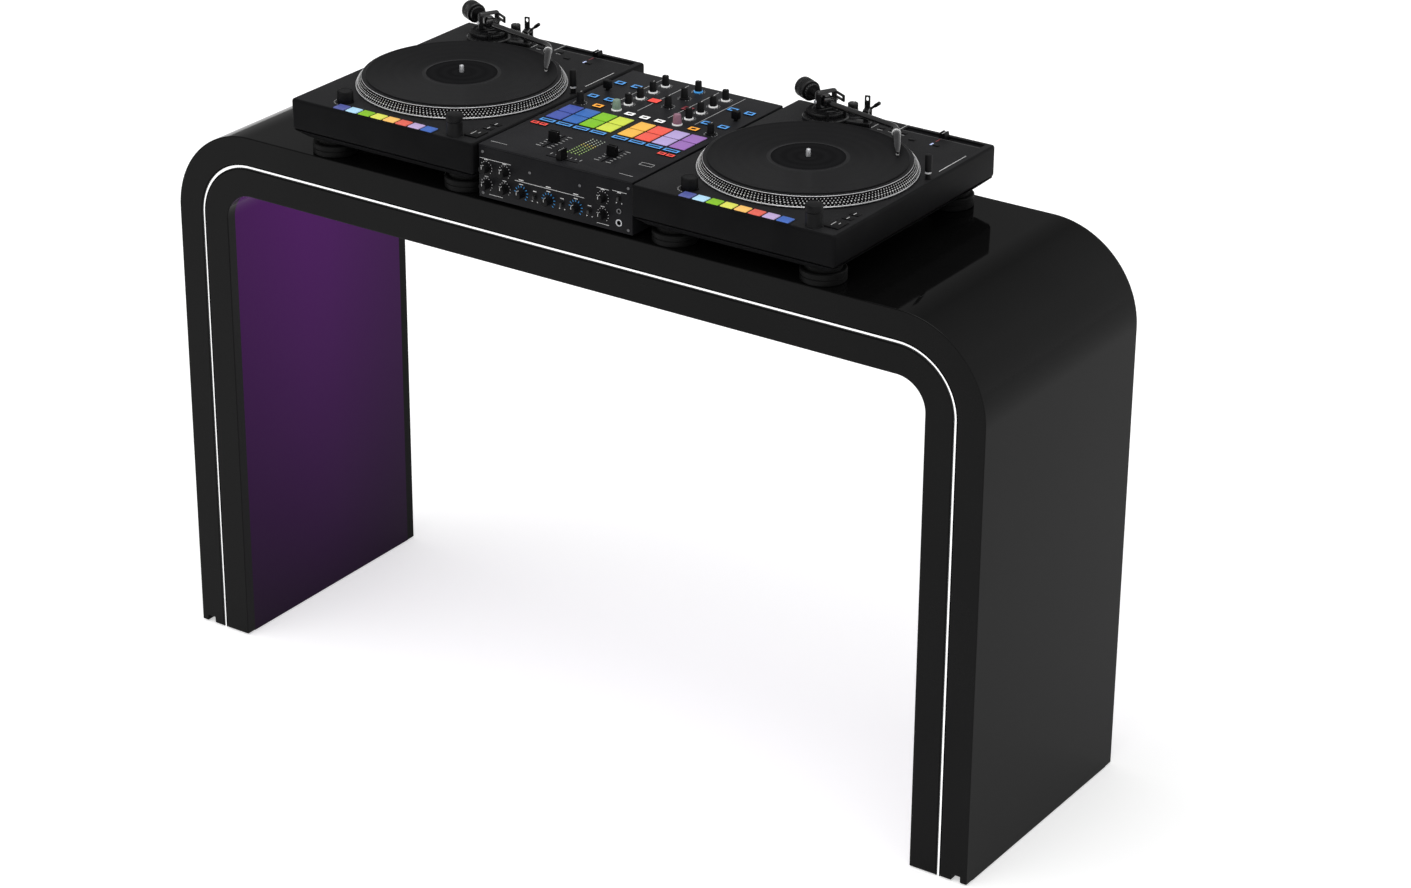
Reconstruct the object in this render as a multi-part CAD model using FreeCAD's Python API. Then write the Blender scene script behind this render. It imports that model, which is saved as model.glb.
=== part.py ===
"""Arch-shaped performance table with a light line, two record decks and a scratch mixer.

Millimetres, +Z up. X runs along the table and +Y runs away from the player, who faces the light line.
The origin is on the floor, at the middle of the rectangle that the whole booth covers.
"""
import FreeCAD, Part
import math
import os

os.makedirs("parts", exist_ok=True)

Vector = FreeCAD.Vector
UP = Vector(0, 0, 1)
RIGHT = Vector(1, 0, 0)
AWAY = Vector(0, 1, 0)
SIDES = {"left": -1, "right": 1}

# Fits shared by all pieces
fit_gap = 0.1
slide_gap = 0.3
running_gap = 0.05
cut_overrun = 2.0

# Table: an arch of one constant thickness, skinned over a rib frame
booth_width = 1500.0
booth_depth = 450.0
booth_height = 900.0
profile_thickness = 100.0
outer_bend_radius = 150.0
front_overhang = 10.0
skin_thickness = 12.0
panel_thickness = 18.0
rib_thickness = 18.0
rib_window_width = 40.0
rib_window_length = 150.0
top_rib_windows = 4
leg_rib_windows = 2
base_plate_thickness = 18.0
cable_groove_width = 15.0
cable_groove_height = 10.0
cable_hole_width = 11.0
glide_height = 2.0
glide_diameter = 30.0
glide_inset_share = 0.58
glide_depth_shares = (-0.38, 0.0, 0.38)

# Light line and underglow
led_channel_width = 8.0
led_channel_depth = 12.0
led_channel_wall = 1.0
led_diffuser_thickness = 3.0
underglow_end_gap = 60.0
underglow_width = 26.0
underglow_height = 12.0
underglow_wall = 2.0
underglow_lens_thickness = 3.0
driver_length = 180.0
driver_width = 50.0
driver_height = 32.0
driver_tab_length = 14.0
driver_tab_thickness = 3.0
driver_place_share = 0.3

# Record deck casing
deck_width = 353.0
deck_depth = 453.0
plinth_height = 51.0
plinth_corner_radius = 9.0
corner_flats = 3
plinth_edge = 2.0
tray_height = 12.0
tray_inset = 14.0
foot_height = 28.0
foot_radius = 35.0
foot_neck_radius = 28.0
foot_neck_height = 9.0
foot_facets = 12
foot_inset = 47.0
gear_gap = 4.0
spindle_from_front = 205.0

# Platter, motor and record
platter_radius = 166.0
platter_top_radius = 155.5
platter_clearance = 1.5
platter_height = 16.0
platter_web = 7.0
platter_facets = 48
shaft_radius = 6.0
shaft_length = 20.0
spindle_radius = 3.6
spindle_height = 12.0
spindle_neck_radius = 3.4
spindle_neck_rise = 0.5
motor_radius = 60.0
motor_gap = 1.0
bush_radius = 16.0
motor_facets = 18
record_radius = 150.8
record_thickness = 2.0

# Tonearm: pivot place, bends and lengths, seen from above, from the spindle
pivot_from_spindle_x = -89.0
pivot_from_spindle_y = 188.0
arm_height = 33.0
arm_rear_heading = -28.0
arm_middle_heading = -12.0
arm_head_heading = -56.5
arm_rear_run = 24.0
arm_middle_run = 129.6
arm_head_run = 30.0
arm_rear_bend_radius = 34.0
arm_head_bend_radius = 30.0
arm_tube_radius = 4.7
arm_tube_facets = 8
arm_collar_radius = 6.4
arm_collar_length = 13.0
arm_block_width = 17.0
arm_block_height = 15.0
arm_block_length = 22.0
arm_stub_radius = 5.0
arm_stub_length = 80.0
arm_pin_radius = 2.0
swing_out_angle = 32.0
swing_in_angle = 20.0

# Tonearm base, yoke, rest and lifter
arm_base_radius = 36.0
arm_base_height = 12.0
arm_ring_radius = 30.0
arm_ring_height = 8.0
arm_base_facets = 16
yoke_stem_radius = 7.0
yoke_stem_length = 15.0
yoke_bar_height = 3.5
yoke_inner_radius = 13.0
yoke_wall = 4.5
yoke_width = 11.0
yoke_shoulder = 7.0
yoke_guard_reach = 24.0
yoke_guard_height = 11.0
yoke_guard_wall = 2.6
yoke_guard_drop = 3.0
lift_rail_radius = 34.0
lift_rail_wall = 2.5
lift_rail_gap = 0.5
lift_rail_spare_angle = 8.0
rest_place_share = 0.32
rest_post_width = 8.0
rest_length = 9.0
rest_wall = 3.0
rest_lip = 2.0
rest_prong_height = 14.0
rest_loop_width = 4.6
rest_loop_height = 7.0
rest_loop_wall = 2.0
outrigger_width = 17.0
outrigger_height = 7.0

# Counterweight, antiskate dial and cue lever
weight_radius = 16.0
weight_length = 25.0
weight_dial_radius = 12.5
weight_dial_length = 7.0
weight_facets = 16
weight_place = 39.0
antiskate_heading = 60.0
antiskate_reach = 47.0
antiskate_radius = 8.0
antiskate_height = 9.0
antiskate_boss_height = 13.0
antiskate_stem_radius = 3.0
antiskate_stem_length = 8.0
cue_heading = 36.0
cue_reach = 64.0
cue_hub_radius = 4.0
cue_hub_width = 6.0
cue_pin_radius = 1.5
cue_axis_height = 16.0
cue_post_width = 5.0
cue_rest_angle = 38.0
cue_rod_radius = 1.7
cue_rod_length = 20.0
cue_grip_radius = 2.8
cue_grip_length = 11.0
cue_facets = 8

# Cartridge that plugs into the arm's collar
cartridge_length = 61.6
cartridge_place_shares = (0.0, 0.25, 0.7, 1.0)
cartridge_radius_shares = (0.88, 1.0, 0.78, 0.36)
cartridge_drop_shares = (0.0, 0.14, 0.55, 1.0)
cartridge_radius = 6.4
cartridge_facets = 8
stylus_radius = 1.3
stylus_tip_radius = 0.2
stylus_gap = 0.5
stylus_length = 3.0

# Deck controls, seen from above, from the spindle
pad_strip_length = 197.0
pad_strip_depth = 17.5
pad_strip_thickness = 3.0
pad_strip_sink = 0.4
pad_strip_x = 1.0
pad_strip_from_front = 13.0
pad_count = 8
pad_gap = 2.2
pad_rise = 2.0
track_knob_x = -97.0
track_knob_from_front = 36.0
track_knob_radius = 13.5
track_knob_height = 19.0
power_knob_x = 130.0
power_knob_from_front = 17.5
power_knob_radius = 13.2
power_knob_height = 34.0
power_cap_height = 11.0
power_body_radius = 12.0
knob_edge = 1.2
knob_facets = 16
stem_facets = 8
knob_stem_radius = 3.0
knob_stem_length = 10.0
start_button_x = 155.0
start_button_from_front = 37.5
start_button_width = 24.0
start_button_depth = 30.0
start_button_rise = 2.2
start_button_sink = 6.0
start_travel = 1.2
button_chamfer = 0.6
deck_button_rise = 1.4
deck_button_width = 17.0
deck_button_depth = 11.0
deck_button_x_shares = (0.442, 0.442, 0.18, 0.30, 0.0, 0.055, 0.11)
deck_button_y_shares = (0.150, 0.192, 0.875, 0.875, 0.913, 0.913, 0.913)
deck_button_size_shares = (1.0, 1.0, 0.65, 0.65, 0.6, 0.6, 0.6)
pitch_slot_x = 96.5
pitch_from_back = 18.0
pitch_travel = 100.0
pitch_trough_spare = 14.0
pitch_trough_width = 15.0
pitch_trough_depth = 4.0
pitch_cap_width = 12.0
pitch_cap_depth = 23.0
pitch_cap_height = 11.0
pitch_cap_waist_share = 0.72
fader_stem_length = 5.0
fader_stem_width = 2.4
fader_stem_depth = 9.0
fader_slot_spare = 3.0
target_light_x = 167.0
target_light_y = 66.0
target_light_radius = 5.5
target_light_height = 38.0
target_sleeve_radius = 4.3
target_sleeve_height = 12.0
target_light_sink = 8.0
small_facets = 8

# Mixer casing
mixer_width = 283.0
mixer_depth = 404.0
mixer_height = 90.0
mixer_foot_height = 6.0
mixer_foot_radius = 10.0
mixer_foot_inset = 28.0
mixer_wall = 2.0
top_plate_thickness = 3.0
front_plate_thickness = 4.0
socket_panel_width = 38.0
plate_edge = 0.8

# Mixer pads and buttons, as shares of the mixer's width from its middle and of its depth from its front
pad_bank_width = 126.0
pad_bank_depth = 66.0
pad_bank_x_share = 0.238
pad_bank_y_share = 0.455
pad_columns = 4
pad_rows = 2
button_rise = 1.6
wide_button_width = 26.0
wide_button_depth = 7.0
wide_button_y_share = 0.342
small_button_width = 10.0
small_button_depth = 6.0
small_button_x_shares = (-0.437, -0.392, 0.392, 0.437)
small_button_y_share = 0.302
shift_button_width = 14.0
shift_button_depth = 9.0
shift_button_x_shares = (-0.315, -0.105, 0.0, 0.105, 0.315, -0.11, 0.11)
shift_button_y_shares = (0.585, 0.58, 0.58, 0.58, 0.585, 0.755, 0.755)
outer_button_x_shares = (-0.43, -0.32, -0.43, -0.32, 0.32, 0.43, 0.32, 0.43)
outer_button_y_shares = (0.665, 0.665, 0.845, 0.845, 0.665, 0.665, 0.845, 0.845)

# Mixer knobs
top_knob_radius = 6.6
top_knob_height = 18.0
top_knob_taper_share = 0.86
top_knob_collar = 1.4
top_knob_collar_height = 3.0
top_knob_facets = 8
top_knob_x_shares = (-0.2, -0.2, -0.2, -0.2, 0.2, 0.2, 0.2, 0.2, 0.0, 0.0, 0.0, -0.43, 0.43)
top_knob_y_shares = (0.67, 0.75, 0.835, 0.92, 0.67, 0.75, 0.835, 0.92, 0.735, 0.845, 0.94, 0.58, 0.58)
loop_knob_x_share = 0.2
loop_knob_y_share = 0.592
loop_knob_radius = 7.4
loop_knob_height = 17.0
front_knob_radius = 7.2
front_knob_height = 13.0
front_knob_x_shares = (-0.45, -0.33, -0.45, -0.33, -0.22, -0.042, 0.136, 0.31, 0.31)
front_knob_z_shares = (0.6, 0.6, 0.3, 0.3, 0.3, 0.3, 0.3, 0.6, 0.3)
toggle_width = 4.0
toggle_height = 6.0
toggle_length = 5.0
toggle_x_shares = (-0.131, 0.047, 0.225, 0.415)
toggle_z_shares = (0.3, 0.3, 0.3, 0.66)

# Mixer faders and paddles
channel_fader_x_share = 0.19
channel_fader_y_share = 0.18
crossfader_y_share = 0.045
mixer_fader_travel = 45.0
mixer_cap_length = 9.0
mixer_cap_width = 15.0
mixer_cap_height = 13.0
paddle_x_share = 0.425
paddle_y_share = 0.755
paddle_tilt = 18.0
paddle_axis_depth = 7.0
paddle_pin_radius = 1.5
paddle_stem_width = 5.0
paddle_stem_depth = 5.0
paddle_head_width = 13.0
paddle_head_depth = 9.0
paddle_head_height = 13.0
paddle_head_from_plate = 3.5
paddle_lug = 3.0
paddle_lug_depth = 10.0

# Headphone sockets in the front plate
jack_x_share = 0.415
jack_z_shares = (0.235, 0.44)
jack_bore_radii = (3.25, 1.85)
jack_wall = 1.4
jack_nut = 1.9
jack_nut_facets = 6
jack_nut_height = 1.6
jack_bore_length = 22.0
jack_end_wall = 2.0

# Places worked out from the sizes above
front_reach = max(front_overhang, front_knob_height)
table_front = front_reach - (booth_depth + front_reach) / 2
table_back = table_front + booth_depth
table_middle = (table_front + table_back) / 2
rib_front = table_front + panel_thickness
rib_back = table_back - panel_thickness
led_inset = (profile_thickness - led_channel_width) / 2
bend_x = booth_width / 2 - outer_bend_radius
bend_z = booth_height - outer_bend_radius
underglow_length = (bend_x - underglow_end_gap) * 2
deck_top_height = foot_height + tray_height + plinth_height
deck_offset = mixer_width / 2 + gear_gap + deck_width / 2
deck_near = -spindle_from_front
deck_far = deck_depth - spindle_from_front
record_seat = platter_clearance + platter_height
record_top = record_seat + record_thickness
arm_deck_top = arm_base_height + arm_ring_height
bush_depth = shaft_length + motor_gap + bush_radius / 2
plate_under = mixer_height - top_plate_thickness


def block(x0, x1, y0, y1, z0, z1):
    """A plain box between two corners."""
    return Part.makeBox(x1 - x0, y1 - y0, z1 - z0, Vector(x0, y0, z0))


def centred_block(x, y, width, depth, z0, z1):
    """A plain box centred on one point of the plan."""
    return block(x - width / 2, x + width / 2, y - depth / 2, y + depth / 2, z0, z1)


def eased_outline(x0, x1, y0, y1, radius, z):
    """The corners of a rectangle whose four corners are eased by a few flats, at one height."""
    centres = [(x1 - radius, y0 + radius), (x1 - radius, y1 - radius), (x0 + radius, y1 - radius),
               (x0 + radius, y0 + radius)]
    points = []
    for quarter, (x, y) in enumerate(centres):
        for i in range(corner_flats + 1):
            angle = math.tau / 4 * (quarter - 1 + i / corner_flats)
            points.append(Vector(x + radius * math.cos(angle), y + radius * math.sin(angle), z))
    return points


def polygon(sides, radius, z):
    """The corners of a regular outline about the origin, with a flat towards each axis."""
    points = []
    for i in range(sides):
        angle = math.tau * (i + 0.5) / sides
        points.append(Vector(radius * math.cos(angle), radius * math.sin(angle), z))
    return points


def flat(points):
    """A flat face from its corners."""
    return Part.Face(Part.makePolygon(points + points[:1]))


def skinned(rings):
    """A solid from rings of corners, joined ring to ring by flat faces and closed at both ends."""
    faces = [flat(rings[0]), flat(rings[-1])]
    for lower, upper in zip(rings, rings[1:]):
        for i in range(len(lower)):
            after = (i + 1) % len(lower)
            faces.append(flat([lower[i], lower[after], upper[after], upper[i]]))
    return Part.makeSolid(Part.makeShell(faces))


def faceted(profile, sides):
    """A stacked solid with flats, from (radius, height) points that only climb."""
    stages = []
    for (r0, z0), (r1, z1) in zip(profile, profile[1:]):
        if z1 > z0:
            stages.append(skinned([polygon(sides, r0, z0), polygon(sides, r1, z1)]))
    return joined(stages[0], stages[1:]) if stages[1:] else stages[0]


def across_heading(points, angle, centre):
    """Ring corners stood upright, square to a level heading, about a centre."""
    stood = []
    for point in points:
        side = heading(angle + 90) * point.y
        stood.append(centre + side + UP * point.x)
    return stood


def rod(radius, start, direction, length):
    """A round bar from a point along a direction."""
    return Part.makeCylinder(radius, length, start, direction)


def turned_about_z(shape, angle, x=0, y=0):
    """A copy turned about a vertical axis."""
    copy = shape.copy()
    copy.rotate(Vector(x, y, 0), UP, angle)
    return copy


def moved(shape, offset):
    """A copy shifted by a vector."""
    return shape.translated(offset)


def chamfered_top(shape, size):
    """Breaks the edges of a solid's top face."""
    top = shape.BoundBox.ZMax
    edges = [e for e in shape.Edges if e.BoundBox.ZMin > top - fit_gap]
    return shape.makeChamfer(size, edges)


def joined(first, others):
    """One solid from touching solids of the same piece."""
    return first.fuse(others).removeSplitter()


def save(node, solids):
    """Writes one node: a solid, or a group of separate solids."""
    shapes = [s for shape in solids for s in shape.Solids]
    whole = shapes[0] if len(shapes) == 1 else Part.makeCompound(shapes)
    whole.exportStep("parts/" + node + ".step")


def arch_edges(offset, foot):
    """The arch's line at one distance in from its outer face, from the left foot to the right foot."""
    half = booth_width / 2 - offset
    top = booth_height - offset
    slant = (outer_bend_radius - offset) * math.sqrt(0.5)
    return [
        Part.makeLine(Vector(-half, 0, foot), Vector(-half, 0, bend_z)),
        Part.Arc(Vector(-half, 0, bend_z), Vector(-bend_x - slant, 0, bend_z + slant),
                 Vector(-bend_x, 0, top)).toShape(),
        Part.makeLine(Vector(-bend_x, 0, top), Vector(bend_x, 0, top)),
        Part.Arc(Vector(bend_x, 0, top), Vector(bend_x + slant, 0, bend_z + slant),
                 Vector(half, 0, bend_z)).toShape(),
        Part.makeLine(Vector(half, 0, bend_z), Vector(half, 0, foot)),
    ]


def arch_band(outer, inner, y0, y1, foot):
    """The arch between two distances in from its outer face, as deep as asked."""
    outside = arch_edges(outer, foot)
    inside = arch_edges(inner, foot)
    feet = []
    for side in SIDES.values():
        out_x = side * (booth_width / 2 - outer)
        in_x = side * (booth_width / 2 - inner)
        feet.append(Part.makeLine(Vector(out_x, 0, foot), Vector(in_x, 0, foot)))
    face = Part.Face(Part.Wire(Part.__sortEdges__(outside + inside + feet)))
    face.translate(Vector(0, y0, 0))
    return face.extrude(Vector(0, y1 - y0, 0))


def cable_grooves(length_front, length_back):
    """The two cutters that open a cable groove under each leg."""
    cutters = []
    for side in SIDES.values():
        outer = side * (booth_width / 2 - skin_thickness)
        inner = outer - side * cable_groove_width
        cutters.append(block(min(outer, inner), max(outer, inner), length_front, length_back,
                             glide_height - cut_overrun, glide_height + cable_groove_height))
    return cutters


def build_table():
    """Skins, panels, ribs, base plates and glides of the arch."""
    save("outer_skin", [arch_band(0, skin_thickness, rib_front, rib_back, glide_height)])
    save("inner_skin", [arch_band(profile_thickness - skin_thickness, profile_thickness,
                                  rib_front, rib_back, glide_height)])

    grooves = cable_grooves(table_front - cut_overrun, table_back + cut_overrun)
    front_outer = arch_band(0, led_inset, table_front, rib_front, glide_height)
    save("front_panel_outer", [front_outer.cut(grooves)])
    save("front_panel_inner", [arch_band(profile_thickness - led_inset, profile_thickness,
                                         table_front, rib_front, glide_height)])
    rear = arch_band(0, profile_thickness, rib_back, table_back, glide_height)
    save("rear_panel", [rear.cut(grooves)])

    rib_foot = glide_height + base_plate_thickness
    rib = arch_band(skin_thickness, profile_thickness - skin_thickness,
                    table_middle - rib_thickness / 2, table_middle + rib_thickness / 2, rib_foot)
    windows = []
    window_front = table_middle - rib_thickness
    window_back = table_middle + rib_thickness
    for i in range(top_rib_windows):
        x = bend_x * (2 * (i + 0.5) / top_rib_windows - 1)
        z = booth_height - profile_thickness / 2
        windows.append(block(x - rib_window_length / 2, x + rib_window_length / 2, window_front, window_back,
                             z - rib_window_width / 2, z + rib_window_width / 2))
    for side in SIDES.values():
        for i in range(leg_rib_windows):
            x = side * (booth_width - profile_thickness) / 2
            z = rib_foot + (bend_z - rib_foot) * (i + 0.5) / leg_rib_windows
            windows.append(block(x - rib_window_width / 2, x + rib_window_width / 2,
                                 window_front, window_back,
                                 z - rib_window_length / 2, z + rib_window_length / 2))
    save("rib_frame", [rib.cut(windows)])

    plates = []
    glides = []
    for side in SIDES.values():
        outer = side * (booth_width / 2 - skin_thickness)
        inner = side * (booth_width / 2 - profile_thickness + skin_thickness)
        plate = block(min(outer, inner), max(outer, inner), rib_front, rib_back, glide_height, rib_foot)
        groove_x = outer - side * cable_groove_width / 2
        cuts = cable_grooves(rib_front - cut_overrun, rib_back + cut_overrun)
        cuts.append(centred_block(groove_x, rib_front + panel_thickness, cable_hole_width, cable_hole_width,
                                  glide_height, rib_foot + cut_overrun))
        glide_x = side * (booth_width / 2 - profile_thickness * glide_inset_share)
        for share in glide_depth_shares:
            disc = faceted([(glide_diameter / 2, 0), (glide_diameter / 2, glide_height)], small_facets)
            glides.append(moved(disc, Vector(glide_x, table_middle + booth_depth * share, 0)))
        plates.append(plate.cut(cuts))
    save("base_plates", plates)
    save("floor_glides", glides)


def build_lighting():
    """The light line in the front, the underglow bar and the driver in the hollow top."""
    channel_outer = led_inset + fit_gap
    channel_inner = profile_thickness - channel_outer
    channel_back = table_front + led_channel_depth
    channel = arch_band(channel_outer, channel_inner, table_front, channel_back, glide_height)
    hollow = arch_band(channel_outer + led_channel_wall, channel_inner - led_channel_wall,
                       table_front - cut_overrun, channel_back - led_channel_wall,
                       glide_height - cut_overrun)
    save("led_channel", [channel.cut(hollow)])
    lens_inset = channel_outer + led_channel_wall + fit_gap
    save("led_diffuser", [arch_band(lens_inset, profile_thickness - lens_inset, table_front,
                                    table_front + led_diffuser_thickness, glide_height)])

    under = booth_height - profile_thickness
    bar = centred_block(0, table_middle, underglow_length, underglow_width, under - underglow_height, under)
    lens_width = underglow_width - underglow_wall * 2
    lens_length = underglow_length - underglow_wall * 2
    lens_top = under - underglow_height + underglow_lens_thickness
    pocket = centred_block(0, table_middle, lens_length, lens_width, under - underglow_height - cut_overrun,
                           under - underglow_wall)
    save("underglow_bar", [bar.cut(pocket)])
    save("underglow_lens", [centred_block(0, table_middle, lens_length - fit_gap * 2,
                                          lens_width - fit_gap * 2, under - underglow_height, lens_top)])

    floor = under + skin_thickness
    x = booth_width / 2 * driver_place_share
    y = (table_middle + rib_thickness / 2 + rib_back) / 2
    driver = centred_block(x, y, driver_length, driver_width, floor, floor + driver_height)
    tabs = centred_block(x, y, driver_length + driver_tab_length * 2, driver_width, floor,
                         floor + driver_tab_thickness)
    save("led_driver", [joined(driver, [tabs])])


def pad_mat(x, y, width, depth, columns, rows, top):
    """A moulded mat: a base that fills its window, with raised pads on it."""
    base_top = top - pad_strip_sink
    base = centred_block(x, y, width, depth, top - pad_strip_thickness, base_top)
    pad_width = width / columns - pad_gap
    pad_depth = depth / rows - pad_gap
    pads = []
    for column in range(columns):
        for row in range(rows):
            pad_x = x + width * ((column + 0.5) / columns - 0.5)
            pad_y = y + depth * ((row + 0.5) / rows - 0.5)
            pads.append(centred_block(pad_x, pad_y, pad_width, pad_depth, base_top, top + pad_rise))
    return joined(base, pads)


def knob(radius, height, stem_radius, stem_length):
    """A turning knob with a stem that runs down into its well, standing clear of the face at height 0."""
    cap = faceted([(radius, slide_gap), (radius, height - knob_edge), (radius - knob_edge, height)],
                  knob_facets)
    stem = faceted([(stem_radius, -stem_length), (stem_radius, slide_gap)], stem_facets)
    return joined(cap, [stem])


def power_knob():
    """The tall power knob: a round body under a wider cap, on its stem."""
    under = power_knob_height - power_cap_height
    tower = faceted([
        (power_body_radius, slide_gap), (power_body_radius, under), (power_knob_radius, under),
        (power_knob_radius, power_knob_height - knob_edge),
        (power_knob_radius - knob_edge, power_knob_height),
    ], knob_facets)
    stem = faceted([(knob_stem_radius, -knob_stem_length), (knob_stem_radius, slide_gap)], stem_facets)
    return joined(tower, [stem])


def well(x, y, z, stem_radius, stem_length):
    """The cutter for a square well that a knob's stem turns in."""
    width = (stem_radius + running_gap) * 2
    return centred_block(x, y, width, width, z - stem_length - slide_gap, z + cut_overrun)


def pot_knob(radius, height, collar):
    """A small tapered knob, seated on its plate, with or without a wider collar round its foot."""
    top_radius = radius * top_knob_taper_share
    body = faceted([(radius, 0), (top_radius, height)], top_knob_facets)
    if not collar:
        return body
    foot = radius + collar
    return joined(faceted([(foot, 0), (foot, top_knob_collar_height)], top_knob_facets), [body])


def deck_button_places():
    """Centre, width and depth of each small deck button."""
    places = []
    for x, y, size in zip(deck_button_x_shares, deck_button_y_shares, deck_button_size_shares):
        place_x = deck_width * x
        place_y = deck_near + deck_depth * y
        places.append((place_x, place_y, deck_button_width * size, deck_button_depth * size))
    return places


def deck_plinth():
    """The cast top casing, with a seat cut for each control."""
    x = deck_width / 2
    edge = plinth_edge
    plinth = skinned([
        eased_outline(-x, x, deck_near, deck_far, plinth_corner_radius, -plinth_height),
        eased_outline(-x, x, deck_near, deck_far, plinth_corner_radius, -edge),
        eased_outline(edge - x, x - edge, deck_near + edge, deck_far - edge, plinth_corner_radius - edge, 0),
    ])

    bush_cut = bush_radius + fit_gap
    cuts = [faceted([(bush_cut, -bush_depth), (bush_cut, cut_overrun)], small_facets)]
    cuts.append(centred_block(pad_strip_x, deck_near + pad_strip_from_front, pad_strip_length,
                              pad_strip_depth, -pad_strip_thickness, cut_overrun))
    for stem_x, from_front in ((track_knob_x, track_knob_from_front), (power_knob_x, power_knob_from_front)):
        cuts.append(well(stem_x, deck_near + from_front, 0, knob_stem_radius, knob_stem_length))
    cuts.append(centred_block(start_button_x, deck_near + start_button_from_front,
                              start_button_width + slide_gap * 2, start_button_depth + slide_gap * 2,
                              -start_button_sink - start_travel - slide_gap, cut_overrun))
    slot_length = pitch_travel + fader_stem_length + fader_slot_spare
    slot_y = deck_far - pitch_from_back
    cuts.append(centred_block(pitch_slot_x, slot_y, slot_length, fader_stem_width + slide_gap * 2,
                              -fader_stem_depth - slide_gap, cut_overrun))
    cuts.append(centred_block(pitch_slot_x, slot_y, slot_length + pitch_trough_spare * 2, pitch_trough_width,
                              -pitch_trough_depth, cut_overrun))
    light_cut = target_sleeve_radius + fit_gap
    light_well = faceted([(light_cut, -target_light_sink), (light_cut, cut_overrun)], small_facets)
    cuts.append(moved(light_well, Vector(target_light_x, target_light_y, 0)))
    return plinth.cut(cuts)


def deck_tray():
    """The heavy base under the casing, drawn in towards its foot."""
    x = deck_width / 2
    upper = eased_outline(-x, x, deck_near, deck_far, plinth_corner_radius, -plinth_height)
    lower = eased_outline(tray_inset - x, x - tray_inset, deck_near + tray_inset, deck_far - tray_inset,
                          plinth_corner_radius, -plinth_height - tray_height)
    return skinned([lower, upper])


def deck_feet():
    """Four round feet, each a neck on a wide soft ring."""
    neck = foot_height - foot_neck_height
    foot = faceted([
        (foot_radius, 0), (foot_radius, neck), (foot_neck_radius, neck), (foot_neck_radius, foot_height),
    ], foot_facets)
    feet = []
    for x in (foot_inset - deck_width / 2, deck_width / 2 - foot_inset):
        for y in (deck_near + foot_inset, deck_far - foot_inset):
            feet.append(moved(foot, Vector(x, y, -deck_top_height)))
    return feet


def platter_motor():
    """The direct-drive motor under the platter, with the bush that carries the shaft."""
    top = record_seat - platter_web - motor_gap
    flange = faceted([(motor_radius, 0), (motor_radius, top)], motor_facets)
    bush = faceted([(bush_radius, -bush_depth), (bush_radius, 0)], small_facets)
    bore_radius = (shaft_radius + running_gap) / math.cos(math.pi / motor_facets)
    bore = faceted([(bore_radius, -shaft_length - slide_gap), (bore_radius, top + cut_overrun)], motor_facets)
    return joined(flange, [bush]).cut(bore)


def platter():
    """The cast platter with its sloping strobe rim, shaft and record spindle."""
    web = record_seat - platter_web
    hollow = (motor_radius + motor_gap) / math.cos(math.pi / motor_facets)
    disc = faceted([(platter_radius, platter_clearance), (platter_top_radius, record_seat)], platter_facets)
    disc = disc.cut(faceted([(hollow, platter_clearance - cut_overrun), (hollow, web)], motor_facets))
    shaft = faceted([(shaft_radius, -shaft_length), (shaft_radius, web)], stem_facets)
    neck_top = record_top + spindle_neck_rise
    neck = faceted([(spindle_neck_radius, record_seat), (spindle_neck_radius, neck_top)], stem_facets)
    spindle = rod(spindle_radius, Vector(0, 0, neck_top), UP, spindle_height - spindle_neck_rise)
    return joined(disc, [shaft, neck, spindle])


def record():
    """A twelve-inch record with its centre hole."""
    disc = faceted([(record_radius, record_seat), (record_radius, record_top)], platter_facets)
    return disc.cut(rod(spindle_radius + running_gap, Vector(0, 0, 0), UP, record_top + cut_overrun))


def heading(angle):
    """A level direction at an angle from +X."""
    return Vector(math.cos(math.radians(angle)), math.sin(math.radians(angle)), 0)


def arm_corners():
    """The arm tube's corner points in plan, from the pivot, at the arm's height."""
    pivot = Vector(0, 0, arm_height)
    first = pivot + heading(arm_rear_heading) * arm_rear_run
    second = first + heading(arm_middle_heading) * arm_middle_run
    end = second + heading(arm_head_heading) * arm_head_run
    return pivot, first, second, end


def bend_arc(corner, heading_in, heading_out, radius):
    """The tangent arc that rounds one corner of the arm tube."""
    turn = math.radians(heading_out - heading_in)
    reach = radius * math.tan(abs(turn) / 2)
    start = corner - heading(heading_in) * reach
    end = corner + heading(heading_out) * reach
    inward = (heading(heading_out) - heading(heading_in)).normalize()
    middle = corner + inward * radius * (1 / math.cos(turn / 2) - 1)
    return start, Part.Arc(start, middle, end).toShape(), end


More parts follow.
